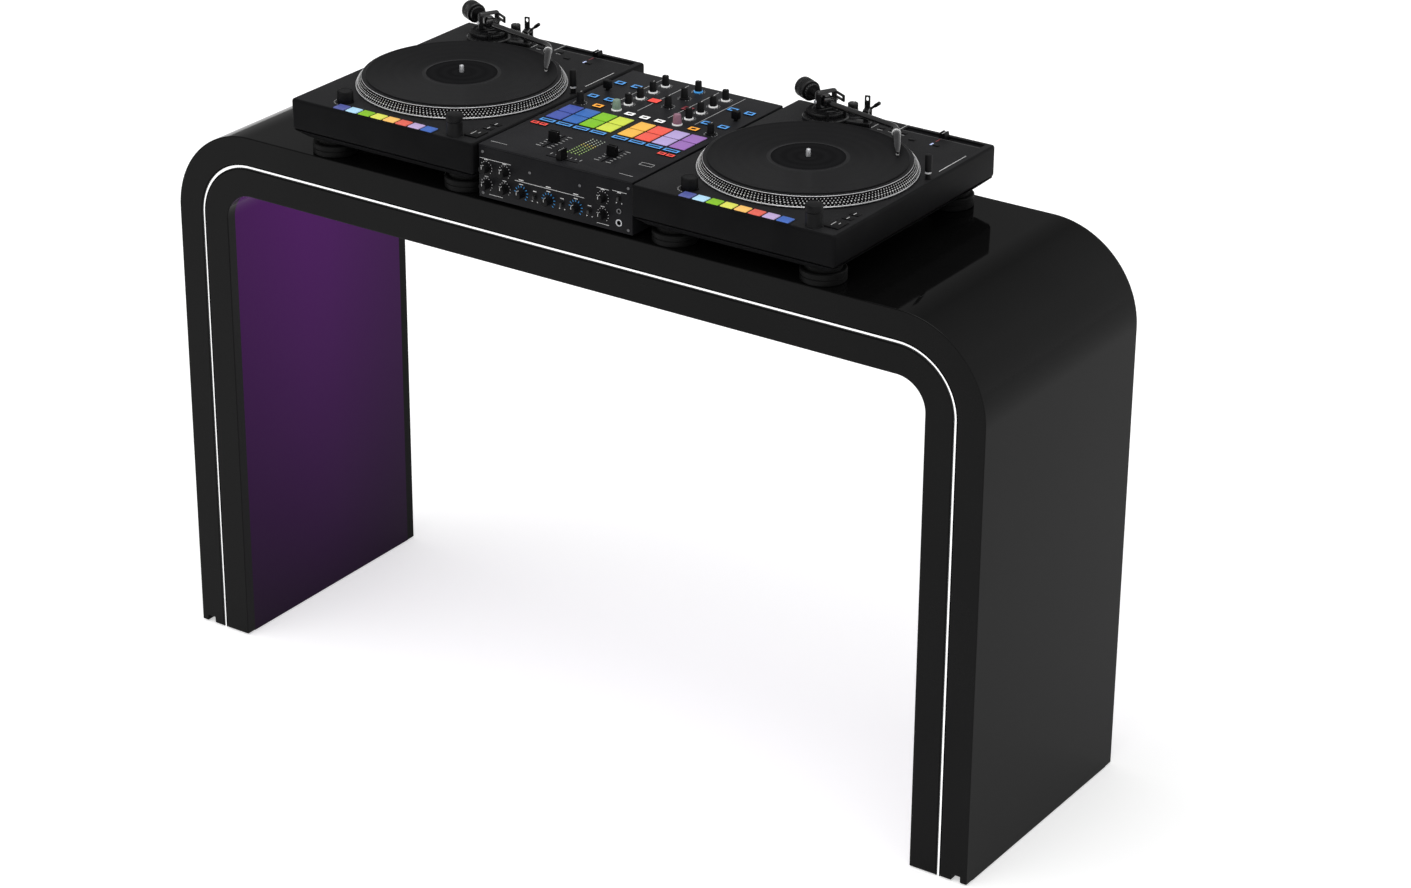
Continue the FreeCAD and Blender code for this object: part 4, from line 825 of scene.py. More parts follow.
# Cartridges.
# A slim dark grey shell that slopes down from the collar to a white-tipped stylus.
# Run ring by ring along the head's direction, falling and narrowing on the way.
shell_grey = worked_finish("shell_grey", "161618", "202022", (0.12, 0.2), 1200.0, 0.04, gloss=0.9,
                           patches=60)
shell_rings = ((0.0, 5.6, 0.0), (0.03, 6.2, 0.0), (0.25, 6.3, 0.14), (0.29, 6.0, 0.17), (0.7, 4.9, 0.55),
               (0.97, 2.6, 0.97), (1.0, 2.0, 1.0))
shell_length = 61.6
shell_drop = 7.7
deselect_all()
bpy.ops.mesh.primitive_circle_add(vertices=24, radius=shell_rings[0][1] * mm, fill_type="NGON",
                                  location=tube_end, rotation=(0, math.pi / 2, math.radians(arm_head)))
shell = named("left_cartridge")
edit(shell)
for (at, size, fall), (next_at, next_size, next_fall) in zip(shell_rings, shell_rings[1:]):
    move = heading(arm_head) * (next_at - at) * shell_length * mm
    move.z = -(next_fall - fall) * shell_drop * mm
    extrude(move)
    centre = tube_end + heading(arm_head) * next_at * shell_length * mm
    centre.z = tube_end.z - next_fall * shell_drop * mm
    bpy.ops.transform.resize(value=(next_size / size,) * 3, center_override=centre)
close_edit()
dress(shell, shell_grey)
needle_place = tube_end + heading(arm_head) * 59.3 * mm
needle_place.z = deck_z
needle = turned("needle", needle_place, [(0.25, 20), (1.4, 21.0), (2.3, 22.0), (2.3, 26)], 16)
dress(needle, ink_white)
cartridge = joined("left_cartridge", [shell, needle])
fit_pair(cartridge, "cartridge", "arm", "cartridge_shell")

# Counterweights.
# A black weight with a ribbed grip, behind a thin dial with grey force marks.
# Turned along the rear stub and screwed onto it.
mark_count = 20
weight_rings = [(12.2, 39), (12.5, 39.6), (12.5, 45.4), (12.0, 46), (15.2, 46), (16, 46.9), (16, 50),
                (15.3, 50.5)]
grip_rings = [(15.6, 50.3), (16, 50.9), (16, 64.6), (15.6, 65.2)]
tail_rings = [(15.3, 65), (16, 65.5), (16, 70), (15, 71), (10.5, 71), (10, 69.6), (5.3, 69.6)]
weight_parts = [
    lying("weight", tube_start, arm_rear + 180, weight_rings, 48),
    lying("grip", tube_start, arm_rear + 180, grip_rings, 48, 48, 0.045),
    lying("tail", tube_start, arm_rear + 180, tail_rings, 48),
]
weight = joined("left_counterweight", weight_parts)
dress(weight, arm_black)
force_marks = []
for i in range(mark_count):
    force_mark = box_between("mark", (12.45 * mm, -0.3 * mm, 40.4 * mm), (12.6 * mm, 0.3 * mm, 43.4 * mm))
    soften(force_mark, 0.04 * mm, 1)
    force_marks.append(placed(force_mark, (0, 0, math.tau * i / mark_count), (0, 0, 0)))
force_scale = joined("force_marks", force_marks)
placed(force_scale, (0, math.pi / 2, math.radians(arm_rear + 180)), tube_start)
dress(force_scale, grey_ink)
weight = joined("left_counterweight", [weight, force_scale])
fit_pair(weight, "counterweight", "weight", "arm_casting")

# Antiskate dials and cue levers.
# A small ribbed dial on its boss, and a straight lever with a round grip on its post.
# Both are moulded black; the dial has one white mark.
mark_angle = 100
stick_slope = 38
dial_rings = [(7.7, 13.2), (8, 13.6), (8, 20.6), (7.2, 22)]
dial = turned("left_antiskate_dial", dial_place, dial_rings, 48, 28, 0.06)
dress(dial, arm_black)
mark_place = dial_place + heading(mark_angle) * 4.2 * mm
dial_mark = block_at("mark", (5.4, 0.8, 0.2), 0, mark_angle, mark_place, 21.95)
dress(dial_mark, ink_white)
dial = joined("left_antiskate_dial", [dial, dial_mark])
cue_axis = cue_place + Vector((0, 0, 16 * mm))
hub = turned("hub", origin, [(3.6, -3), (4, -2.6), (4, 2.6), (3.6, 3)], 32)
placed(hub, (math.pi / 2, 0, 0), cue_axis)
stick_rings = [(2.0, 2), (2.0, 15), (2.5, 16), (3.0, 17), (3.0, 26.4), (2.1, 27.6)]
stick = turned("stick", origin, stick_rings, 20)
placed(stick, (0, math.radians(90 - stick_slope), 0), cue_axis)
lever = joined("left_cue_lever", [hub, stick])
dress(lever, arm_black)
for piece, part in ((dial, "antiskate_dial"), (lever, "cue_lever")):
    fit_pair(piece, part, part + "_body", "small_controls")

# Deck pads.
# Eight soft translucent pads, lit from below in eight colours, in a black strip at the front.
# Each pad is its own soft-edged block in one glowing finish.
pad_codes = ("505897", "aad3ec", "7db519", "d4d757", "eeb962", "d95f50", "b59fca", "3a60ae")
pad_finishes = [lit_finish("pad_" + code, code, 0.34) for code in pad_codes]
strip_black = worked_finish("strip_black", "080808", "0c0c0c", (0.5, 0.62), 900.0, 0.1, gloss=0.15)


def pads_in_row(name, left, near, pad_width, pad_depth, gap, low, high, finishes):
    """A row of lit pads from left to right."""
    row = []
    for i, finish in enumerate(finishes):
        x = left + i * (pad_width + gap) * mm
        far_corner = (x + pad_width * mm, near + pad_depth * mm, high)
        pad = soft_block(name, (x, near, low), far_corner, 0.7 * mm, 2, 1.0 * mm, 2)
        dress(pad, finish)
        row.append(pad)
    return joined(name, row)


pad_gap = 3.2
strip_left = -97.5
strip_right = 99.5
pad_width = (strip_right - strip_left - pad_gap * 9) / 8
strip = soft_block("strip", on_deck(strip_left, -203.2, -1), on_deck(strip_right, -183.25, 0.35),
                   0.3 * mm, 1)
dress(strip, strip_black)
first_pad = on_deck(strip_left + pad_gap, -202.8)
deck_pads = pads_in_row("deck_pads", first_pad.x, first_pad.y, pad_width, 18.6, pad_gap,
                        deck_z - 0.5 * mm, deck_z + 2.0 * mm, pad_finishes)
deck_pads = joined("deck_pad_strips", [strip, deck_pads])
fit(both_decks("deck_pad_strips", deck_pads), "booth", "pads", "deck_pad_strips")

# Small deck buttons, start buttons and printed marks.
# Black moulded keys a little proud of the casing, with thin white lines printed by them, and a grey painted
# highlight along the trough's front edge.
# The start key is a broad plate at the front right corner of each deck.
key_black = worked_finish("key_black", "0b0b0c", "101011", (0.3, 0.42), 1100.0, 0.08, gloss=0.1)


def key_at(x, y, width, depth, rise):
    """One key of the left deck."""
    return soft_block("key", *corners(on_deck, x, y, width, depth, -1, rise), 0.6 * mm, 2, 0.9 * mm, 2)


def mark_at(x, y, length, width, angle, lift=0.0):
    """One printed line of the left deck."""
    return block_at("mark", (length, width, 0.16), 0, angle, on_deck(x, y, lift))


key_rise = 1.4
start_rise = 2.2
side_x = 156
side_rows = (-137, -118)
back_columns = (0, 19.4, 38.8)
track_x = -97
track_y = -169
deck_keys = [key_at(side_x, y, 17, 11, key_rise) for y in side_rows]
deck_keys += [key_at(x, 191.4, 11, 7, key_rise) for x in (63.5, 105.9)]
deck_keys += [key_at(x, 208.6, 10, 6.6, key_rise) for x in back_columns]
keys = joined("deck_buttons", deck_keys)
dress(keys, key_black)
lines = [mark_at(side_x, y, 1.2, 7.6, 0, key_rise) for y in side_rows]
lines += [mark_at(x, 201.4, 9, 0.7, 0) for x in back_columns]
lines += [mark_at(-15, 212, 0.9, 22, 0), mark_at(24, 224, 0.9, 40, 0), mark_at(165, 140, 1.1, 78, 0)]
lines += [mark_at(53 + i * 10.8, 243.6, 0.6, 2.4 if i % 4 else 3.4, 0) for i in range(9)]
for angle in range(140, 290, 15):
    spot = heading(angle) * 17
    lines.append(mark_at(track_x + spot.x, track_y + spot.y, 2.2, 0.8, angle))
ink = joined("deck_marks", lines)
dress(ink, ink_white)
# A thin grey line on the front edge of the speed fader's trough: a painted highlight, not print.
trough_edge_highlight = mark_at(speed_x, 220.6, 136, 0.8, 0)
dress(trough_edge_highlight, grey_ink)
pale_lamp = lit_finish("pale_lamp", "b9c6ee", 0.4)
dim_red = lit_finish("dim_red", "7c2430", 0.3)
centre_mark = mark_at(speed_x, 212, 1.3, 13, 0)
dress(centre_mark, dim_red)
speed_lamp = key_at(speed_x, 194, 3.2, 9, 0.6)
dress(speed_lamp, pale_lamp)
keys = joined("deck_buttons", [keys, ink, trough_edge_highlight, centre_mark, speed_lamp])
fit(both_decks("deck_buttons", keys), "booth", "small_controls", "deck_buttons")
start = key_at(155, -167.5, 24, 30, start_rise)
dress(start, key_black)
start_lines = [mark_at(151, -168, 1.2, 14, 0, start_rise), mark_at(159, -164, 1.0, 6, 0, start_rise)]
start_print = joined("start_lines", start_lines)
dress(start_print, ink_white)
start = joined("left_start_button", [start, start_print])
fit_pair(start, "start_button", "start_button_body", "small_controls")

# Track knobs and power towers.
# A broad ribbed dial at the left, and a plain black tower with a wider cap at the right.
# Both are turned; the tower carries a small red lamp that faces the platter's dots.
knob_black = worked_finish("knob_black", "0a0a0b", "0f0f10", (0.4, 0.55), 1200.0, 0.15, gloss=0.15)
red_lamp = lit_finish("red_lamp", "e23a26", 0.8)
track_place = on_deck(track_x, track_y)
tower_place = on_deck(130, -187.5)
lamp_angle = 125
track = turned("left_track_knob", track_place, [(13.5, 0.3), (13.5, 2.2)], 64)
track_rings = [(12.6, 2), (12.6, 16.8), (11.6, 18.4), (10.4, 19), (9.6, 18.4)]
grip = turned("grip", track_place, track_rings, 64, 40, 0.05)
track = joined("left_track_knob", [track, grip])
dress(track, knob_black)
tower_rings = [(12.6, 0.3), (12.2, 1.2), (12.2, 21.6), (11.4, 22.4), (11.4, 23.6), (13.2, 24.4),
               (13.2, 32.2), (12.4, 33.5), (11.2, 34)]
tower = turned("left_power_knob", tower_place, tower_rings, 64)
dress(tower, knob_black)
lamp_place = tower_place + heading(lamp_angle) * 11.9 * mm
lamp = block_at("lamp", (1.4, 5, 5), 0.4, lamp_angle, lamp_place, 6.5)
dress(lamp, red_lamp)
tower = joined("left_power_knob", [tower, lamp])
for piece, part in ((track, "track_knob"), (tower, "power_knob")):
    fit_pair(piece, part, part + "_body", "small_controls")

# Speed faders.
# A black waisted cap that slides in the sunk strip, with a white line across its top.
# The cap is a block whose top is drawn in, with a groove along the middle.


def open_faces(piece, chosen):
    """Opens a piece in edit mode with only the chosen faces selected."""
    edit(piece)
    bpy.ops.mesh.select_mode(type="FACE")
    bpy.ops.mesh.select_all(action="DESELECT")
    bpy.ops.object.mode_set(mode="OBJECT")
    for face in piece.data.polygons:
        face.select = chosen(face)
    bpy.ops.object.mode_set(mode="EDIT")


def fader_cap(name, place, width, depth, foot, height, turn):
    """A fader cap that slides along X or is turned across it, with its stem down in the slot."""
    cap = box_between(name, (-width * mm / 2, -depth * mm / 2, foot * mm),
                      (width * mm / 2, depth * mm / 2, height * mm))
    open_faces(cap, lambda face: face.normal.z > 0.9)
    bpy.ops.transform.resize(value=(0.8, 0.94, 1), center_override=(0, 0, height * mm))
    close_edit()
    dent = box_between("dent", (-width * 0.12 * mm, -depth * mm, (height - 1.2) * mm),
                       (width * 0.12 * mm, depth * mm, (height + 2) * mm))
    cut_away(cap, dent)
    soften(cap, 0.7 * mm, 2)
    dress(cap, key_black)
    line = soft_block("line", (-width * 0.05 * mm, -depth * 0.43 * mm, (height - 1.3) * mm),
                      (width * 0.05 * mm, depth * 0.43 * mm, (height - 1.05) * mm), 0.05 * mm, 1)
    dress(line, ink_white)
    stem = soft_block("stem", (-2.4 * mm, -0.9 * mm, (foot - 4) * mm),
                      (2.4 * mm, 0.9 * mm, (foot + 1) * mm), 0.2 * mm, 1)
    dress(stem, key_black)
    return turned_to(joined(name, [cap, line, stem]), turn, place)


speed_cap = fader_cap("left_pitch_fader", on_deck(speed_x, speed_y), 12, 14, -3.6, 8.6, 0)
fit_pair(speed_cap, "pitch_fader", "pitch_fader_body", "small_controls")

# Target lights.
# A slim black head on a black sleeve, popped up beside each platter.
# Turned in three parts, with a thin bright ring under the head.
target_place = on_deck(167, 66)
sleeve = turned("sleeve", target_place, [(5.6, 0), (5.6, 0.8), (4.3, 1.0), (4.3, 12)], 32)
dress(sleeve, knob_black)
bright_ring = turned("bright_ring", target_place, [(4.4, 8.4), (4.8, 8.8), (4.8, 11.2), (4.4, 11.6)], 32)
dress(bright_ring, rim_metal)
head = turned("head", target_place, [(5.0, 11.6), (5.5, 12.2), (5.5, 36.6), (4.9, 37.7), (3.8, 38)], 40)
dress(head, knob_black)
target = joined("target_lights", [head, sleeve, bright_ring])
fit(both_decks("target_lights", target), "booth", "light_post", "target_lights")

# Mixer case, top plate, front plate and feet.
# Folded steel in satin black, with a thick top plate slotted for the faders, and the front plate in a
# darker copy of the black as painted shade.
# The plates are softened blocks, cut where the fader stems run.
mixer_y = -218.5 * mm
mixer_z = 900 * mm
mixer_half = 141.5
mixer_depth = 404
mixer_height = 90
channel_x = 53.8
channel_y = 72.7
cross_y = 18.2
plate_black = worked_finish("plate_black", "19191b", "1e1e20", (0.42, 0.55), 1600.0, 0.14, gloss=0.12)
# The front plate's black is a darker copy of the top plate's: painted shade on the upright face.
front_black_painted_shade = worked_finish("front_black_painted_shade", "151517", "1a1a1c", (0.42, 0.55), 1600.0, 0.14, gloss=0.1)


def on_mixer(x, y, z=0.0):
    """A point of the mixer in millimetres, from the middle of its front edge, at its top."""
    return Vector((x * mm, mixer_y + y * mm, mixer_z + (mixer_height + z) * mm))


keep_node("mixer_case", plate_black)
keep_node("mixer_feet", foot_rubber)
top_plate = soft_block("mixer_top_plate", on_mixer(-mixer_half, 0, -3), on_mixer(mixer_half, mixer_depth),
                       0.8 * mm, 3)
slots = ((-channel_x, channel_y, 3, 58), (channel_x, channel_y, 3, 58), (0, cross_y, 58, 3))
for x, y, width, depth in slots:
    cut_away(top_plate, box_between("slot", *corners(on_mixer, x, y, width, depth, -5, 2)))
dress(top_plate, plate_black)
fit(top_plate, "booth", "mixer_metal", "mixer_top_plate")
front_plate = soft_block("mixer_front_plate", on_mixer(-mixer_half, 0, -84), on_mixer(mixer_half, 4, -3),
                         0.7 * mm, 2)
socket_x = 117.4
socket_sizes = ((21.15, 3.25, 5.6), (39.6, 1.85, 4.4))


def facing_player(piece, x, z):
    """Lays an upright piece made at the origin on the front plate, its top towards the player."""
    return placed(piece, (math.pi / 2, 0, 0), on_mixer(x, 0, z - mixer_height))


for height, bore, _ in socket_sizes:
    hole = turned("hole", origin, [(bore + 0.6, -8), (bore + 0.6, 4)], 40)
    cut_away(front_plate, facing_player(hole, socket_x, height))
dress(front_plate, front_black_painted_shade)
fit(front_plate, "booth", "mixer_metal", "mixer_front_plate")

# Mixer pads, lit keys and the toggles of the front.
# Two banks of eight lit pads, thin keys in lit frames in front of them, and square lit keys behind.
# Each key is a black block with its frame inset from the top face.
bank_codes = (("3d509f", "2f63ac", "7ab918", "c8d645"), ("eeb448", "e75747", "af9dcf", "9468b0"))
bank_finishes = {code: lit_finish("bank_" + code, code, 0.34) for codes in bank_codes for code in codes}
bank_x = 67.4
bank_y = 183.8
bank_width = 126
bank_depth = 66
cell_x = bank_width / 4
cell_y = bank_depth / 2
pads = []
for side, codes in zip((-1, 1), bank_codes):
    bed_corners = corners(on_mixer, side * bank_x, bank_y, bank_width, bank_depth, -1, 0.3)
    bed = soft_block("bed", *bed_corners, 0.2 * mm, 1)
    dress(bed, strip_black)
    pads.append(bed)
    for column, code in enumerate(codes):
        for row in range(2):
            x = side * bank_x + (column - 1.5) * cell_x
            y = bank_y + (row - 0.5) * cell_y
            pad_corners = corners(on_mixer, x, y, cell_x - 3.8, cell_y - 3, 0, 1.6)
            pad = soft_block("pad", *pad_corners, 0.7 * mm, 2, 1.6 * mm, 3)
            dress(pad, bank_finishes[code])
            pads.append(pad)
fit(joined("mixer_pads", pads), "booth", "pads", "mixer_pads")

blue_frame = lit_finish("blue_frame", "4a92d6", 0.45)
red_frame = lit_finish("red_frame", "e0463c", 0.6)
orange_frame = lit_finish("orange_frame", "f0a030", 0.6)
white_frame = lit_finish("white_frame", "f2f2f2", 0.45)
lit_rise = 1.6


def lit_key(x, y, width, depth, frame_width, frame_finish, face_finish=strip_black):
    """A key whose top has a lit frame round a face."""
    key_corners = corners(on_mixer, x, y, width, depth, -1, lit_rise)
    key = soft_block("key", *key_corners, 0.35 * mm, 1, 0.8 * mm, 2)
    top = max(key.data.polygons, key=lambda face: face.area if face.normal.z > 0.9 else 0).index
    open_faces(key, lambda face: face.index == top)
    bpy.ops.mesh.inset(thickness=frame_width * mm)
    close_edit()
    dress(key, strip_black, frame_finish, face_finish)
    edge_x = width / 2 - frame_width - 0.5
    edge_y = depth / 2 - frame_width - 0.5
    centre = on_mixer(x, y)
    for face in key.data.polygons:
        inside = abs(face.center.x - centre.x) < edge_x * mm and abs(face.center.y - centre.y) < edge_y * mm
        if face.normal.z > 0.9:
            face.material_index = 2 if inside else 1
    return key


mixer_keys = []
for side in (-1, 1):
    for column in range(4):
        x = side * bank_x + (column - 1.5) * cell_x
        mixer_keys.append(lit_key(x, 139.4, 27.4, 11.4, 2.7, blue_frame))
    for x in (109.6, 125.2):
        mixer_keys.append(lit_key(side * x, 121.6, 14, 10.4, 2.5, red_frame))
    mixer_keys.append(lit_key(side * 89.1, 236, 17, 13.6, 3.2, orange_frame))
    mixer_keys.append(lit_key(side * 28, 234, 16.6, 13, 3.6, white_frame))
    for x, y in ((121.7, 268.7), (90.6, 268.7), (121.7, 341.4), (90.6, 341.4)):
        mixer_keys.append(lit_key(side * x, y, 17, 13.6, 2.9, blue_frame))
mixer_keys.append(lit_key(0, 234, 16.6, 13, 3.6, white_frame))
mixer_keys.append(lit_key(-31.1, 305, 19, 16, 2.4, red_frame, red_frame))
mixer_keys.append(lit_key(31.1, 305, 18, 15, 3.0, dim_red))
toggle_metal = worked_finish("toggle_metal", "1a1a1b", "242425", (0.3, 0.42), 900.0, 0.08)
front_low = 27
toggle_places = ((-37.1, front_low), (13.3, front_low), (63.7, front_low), (socket_x, 59.4))
for x, z in toggle_places:
    level = z - mixer_height
    toggle = soft_block("toggle", *corners(on_mixer, x, -2, 4, 6, level - 3, level + 3), 0.8 * mm, 2)
    dress(toggle, toggle_metal)
    bezel = soft_block("bezel", *corners(on_mixer, x, 0.25, 8, 1.5, level - 4.6, level + 4.6), 0.3 * mm, 1)
    dress(bezel, strip_black)
    mixer_keys += [toggle, bezel]
fit(joined("mixer_keys", mixer_keys), "booth", "small_controls", "mixer_buttons")

# Mixer knobs on the top and on the front.
# Ribbed black rubber knobs with a white pointer, standing on white, blue or black collars on top.
# One knob is modelled and copied; the front ones lie with their axes towards the player.
collar_white = lit_finish("collar_white", "e8e8e8", 0.25)
collar_blue = lit_finish("collar_blue", "3f8fd0", 0.5)


def rubber_knob(name, radius, height, foot):
    """A ribbed knob at the origin with a pointer line towards +Y, standing on a foot height."""
    rings = [(radius, foot), (radius * 0.97, foot + 0.6), (radius * 0.88, height - 0.8),
             (radius * 0.78, height)]
    body = turned(name, origin, rings, 32, 18, 0.07)
    dress(body, knob_black)
    pointer = soft_block("pointer", (-0.45 * mm, radius * 0.2 * mm, (height - 0.1) * mm),
                         (0.45 * mm, radius * 0.78 * mm, (height + 0.15) * mm), 0.05 * mm, 1)
    side_line = soft_block("side_line", (-0.45 * mm, radius * 0.86 * mm, height * 0.55 * mm),
                           (0.45 * mm, radius * 0.94 * mm, (height - 0.6) * mm), 0.05 * mm, 1)
    dress(pointer, ink_white)
    dress(side_line, ink_white)
    return joined(name, [body, pointer, side_line])


top_knob = rubber_knob("knob", 5.9, 17.8, 2.0)
collar_ring = turned("collar", origin, [(7.4, 0), (7.4, 1.0), (7.1, 1.8), (5.6, 2.1)], 36)
dress(collar_ring, collar_white)
knob_set = []
knob_x = 56.6
knob_rows = (270.7, 303, 337.3, 371.7)
top_places = [(side * knob_x, y, collar_white) for side in (-1, 1) for y in knob_rows]
top_places += [(0, 296.9, knob_black), (0, 341.4, knob_black), (0, 379.8, collar_blue)]
top_places += [(-121.7, 234, knob_black), (121.7, 234, knob_black)]
for x, y, finish in top_places:
    knob_set.append(copied(top_knob, "knob_copy", on_mixer(x, y)))
    ring = copied(collar_ring, "collar_copy", on_mixer(x, y))
    dress(ring, finish)
    knob_set.append(ring)
front_knob = rubber_knob("front_knob", 7.2, 12.8, 0)
facing_player(front_knob, 0, 0)
front_high = 54
middle_three = (-62.3, -11.9, 38.5)
front_places = [(x, z) for z in (front_high, front_low) for x in (-127.4, -93.4)]
front_places += [(x, front_low) for x in middle_three]
front_places += [(87.7, front_high), (87.7, front_low)]
for x, z in front_places:
    knob_set.append(copied(front_knob, "knob_copy", Vector((x * mm, 0, z * mm))))
for piece in (top_knob, collar_ring, front_knob):
    bpy.data.objects.remove(piece, do_unlink=True)
fit(joined("mixer_knobs", knob_set), "booth", "small_controls", "mixer_knobs")

# Loop knobs.
# Milky translucent knobs on white rings, the left one greenish and the right one pink.
# Turned with ribs, and lit softly from below.
milky_green = lit_finish("milky_green", "84988a", 0.15, "738678")
milky_pink = lit_finish("milky_pink", "956f80", 0.15, "84606f")
for side, name, finish in ((-1, "left", milky_green), (1, "right", milky_pink)):
    part = name + "_loop_knob"
    place = on_mixer(side * knob_x, 239.2)
    body = turned(part, place, [(7.2, 2.2), (7.0, 4), (5.8, 15.8), (5.2, 17)], 48, 26, 0.06)
    dress(body, finish)
    ring = turned("ring", place, [(8.0, 0.3), (8.0, 1.8), (7.4, 2.4)], 40)
    dress(ring, collar_white)
    fit(joined(part, [body, ring]), part + "_body", "lit_knob", part)

# Faders and effects paddles.
# Black waisted caps in the slots, and two rocking paddles at the sides.
# The caps are made as the speed fader's; the paddles are soft blocks on stems, each over a thin near-black
# sheet that is painted shade for its opening.
well_painted_shade = worked_finish("well_painted_shade", "050505", "080808", (0.7, 0.85), 600.0, 0.1)
cap_sizes = (10, 16.5, 0.3, 17)
paddle_x = 120.3
paddle_y = 305
cross_cap = fader_cap("crossfader", on_mixer(0, cross_y), *cap_sizes, 0)
fit(cross_cap, "crossfader_body", "small_controls", "crossfader")
for side, name in ((-1, "left"), (1, "right")):
    part = name + "_channel_fader"
    cap = fader_cap(part, on_mixer(side * channel_x, channel_y), *cap_sizes, 90)
    fit(cap, part + "_body", "small_controls", part)
    part = name + "_fx_paddle"
    x = side * paddle_x
    paddle = soft_block(part, *corners(on_mixer, x, paddle_y, 13, 9, 3.5, 16.5), 1.4 * mm, 3)
    stem = soft_block("stem", *corners(on_mixer, x, paddle_y, 5, 5, -1, 5), 0.6 * mm)
    # The well is a thin near-black sheet on the plate: painted shade where the paddle's opening would be
    # dark.
    well = soft_block("well", *corners(on_mixer, x, paddle_y, 8, 8.8, -0.5, 0.2), 0.1 * mm, 1)
    dress(paddle, knob_black)
    dress(stem, knob_black)
    dress(well, well_painted_shade)
    fit(joined(part, [paddle, stem]), part + "_body", "small_controls", part)
    well.name = name + "_paddle_well"
    fit(well, "booth", "mixer_metal")

# Level lights, scales and printed lines on the top plate.
# Rows of tiny lamps between the channel faders, and thin white lines and one box printed on the plate.
# The lamps are low domes, green near the player, then yellow, then pale.
lamp_green = lit_finish("lamp_green", "90ad66", 0.45)
lamp_yellow = lit_finish("lamp_yellow", "c0b65c", 0.45)
lamp_pale = lit_finish("lamp_pale", "a5ae9f", 0.3)
lamp_step_x = 7.2
lamp_step_y = 5.9
scale_angles = range(-135, 136, 27)
lamps = []
for row in range(12):
    for column in range(4):
        place = on_mixer((column - 1.5) * lamp_step_x, 48 + row * lamp_step_y)
        lamp = turned("lamp", place, [(1.15, 0), (1.15, 0.4), (0.7, 0.8)], 10)
        dress(lamp, lamp_green if row < 6 else lamp_yellow if row < 8 else lamp_pale)
        lamps.append(lamp)
level_lights = joined("level_lights", lamps)
fit(level_lights, "booth", "lit_white")


def plate_line(x, y, length, width, angle=0):
    """One printed line on the top plate."""
    return block_at("line", (length, width, 0.14), 0, angle, on_mixer(x, y))


plate_ink = worked_finish("plate_ink", "c4c4c4", "dcdcdc", (0.5, 0.6), 600.0, 0.03)
plate_lines = []
for side in (-1, 1):
    for i in range(7):
        length = 9 if i % 3 == 0 else 5.4
        for reach in (-10.5, 10.5):
            plate_lines.append(plate_line(side * channel_x + reach, 47 + i * 8.6, length, 1.0))
for i in range(7):
    plate_lines.append(plate_line(-27 + i * 9, 29.5, 1.0, 7 if i % 3 == 0 else 4.4))
for x, y, width, depth in ((117, 67, 22, 0.7), (117, 77, 22, 0.7), (106, 72, 0.7, 10), (128, 72, 0.7, 10),
                           (-118, 20, 30, 0.8), (116, 20, 24, 0.8)):
    plate_lines.append(plate_line(x, y, width, depth))
for x in (-28.3, 28.3, -78, 78):
    plate_lines.append(plate_line(x, 325, 0.8, 140))
for x, y, _ in top_places:
    for angle in scale_angles:
        spot = heading(90 + angle) * 10.2
        plate_lines.append(plate_line(x + spot.x, y + spot.y, 1.9, 0.8, 90 + angle))
printed = joined("plate_lines", plate_lines)
dress(printed, plate_ink)
fit(printed, "booth", "mixer_metal")

# Scales, lines, screws and sockets of the front plate.
# Dotted white scales round six knobs, blue ticks round the middle three, and thin dividing lines.
# The sockets are black sleeves in the plate's two holes, held by bright ring nuts.
blue_ink = lit_finish("blue_ink", "2f86c6", 0.35)
socket_black = worked_finish("socket_black", "0a0a0a", "121212", (0.4, 0.55), 800.0, 0.1, gloss=0.15)


def front_line(x, z, length, height, angle=0.0):
    """One printed line on the front plate, angle as seen by the player."""
    piece = soft_block("line", (-length * mm / 2, -0.12 * mm, -height * mm / 2),
                       (length * mm / 2, 0.1 * mm, height * mm / 2), 0)
    return placed(piece, (0, -math.radians(angle), 0), on_mixer(x, 0, z - mixer_height))


white_lines = []
blue_lines = []
for x, z in front_places:
    blue = x in middle_three
    for angle in scale_angles:
        spot = heading(90 + angle) * (11.2 if blue else 10.4)
        if blue:
            blue_lines.append(front_line(x + spot.x, z + spot.y, 3.2, 0.9, 90 + angle))
        else:
            white_lines.append(front_line(x + spot.x, z + spot.y, 1.1, 1.1, 90 + angle))
dividers = ((-10, 46, 128), (-110, 68.5, 58), (88, 68.5, 22), (118, 70, 26), (-110, 12.5, 26),
            (88, 12.5, 22))
white_lines += [front_line(x, z, length, 0.7) for x, z, length in dividers]
for x, z in front_places:
    white_lines.append(front_line(x, z + (14.6 if x in middle_three else 13.2), 7, 1.2))
for x in middle_three:
    white_lines.append(front_line(x, 48.6, 9, 1.5))
for x, z in toggle_places:
    white_lines.append(front_line(x, z + 9, 6.4, 1.2))
    white_lines += [front_line(x + reach, z - 7.4, 1.6, 1.5) for reach in (-4.8, 4.8)]
white_scale = joined("front_white_lines", white_lines)
dress(white_scale, ink_white)
blue_scale = joined("front_blue_lines", blue_lines)
dress(blue_scale, blue_ink)
front_print = joined("front_lines", [white_scale, blue_scale])
fit(front_print, "booth", "mixer_metal")
screw_steel = worked_finish("screw_steel", "6c6c6e", "808082", (0.3, 0.45), 900.0, 0.1, metal=1.0)
screw_set = []
screw_rings = [(2.4, 0), (2.4, 0.5), (1.9, 0.9), (1.0, 0.9), (0.9, 0.4)]
for x, z in ((-46, 64), (46, 64), (-134, 13), (134, 13), (-134, 79), (134, 79)):
    screw = turned("screw", origin, screw_rings, 24)
    screw_set.append(facing_player(screw, x, z))
screws = joined("front_screws", screw_set)
dress(screws, screw_steel)
fit(screws, "booth", "mixer_metal")
socket_set = []
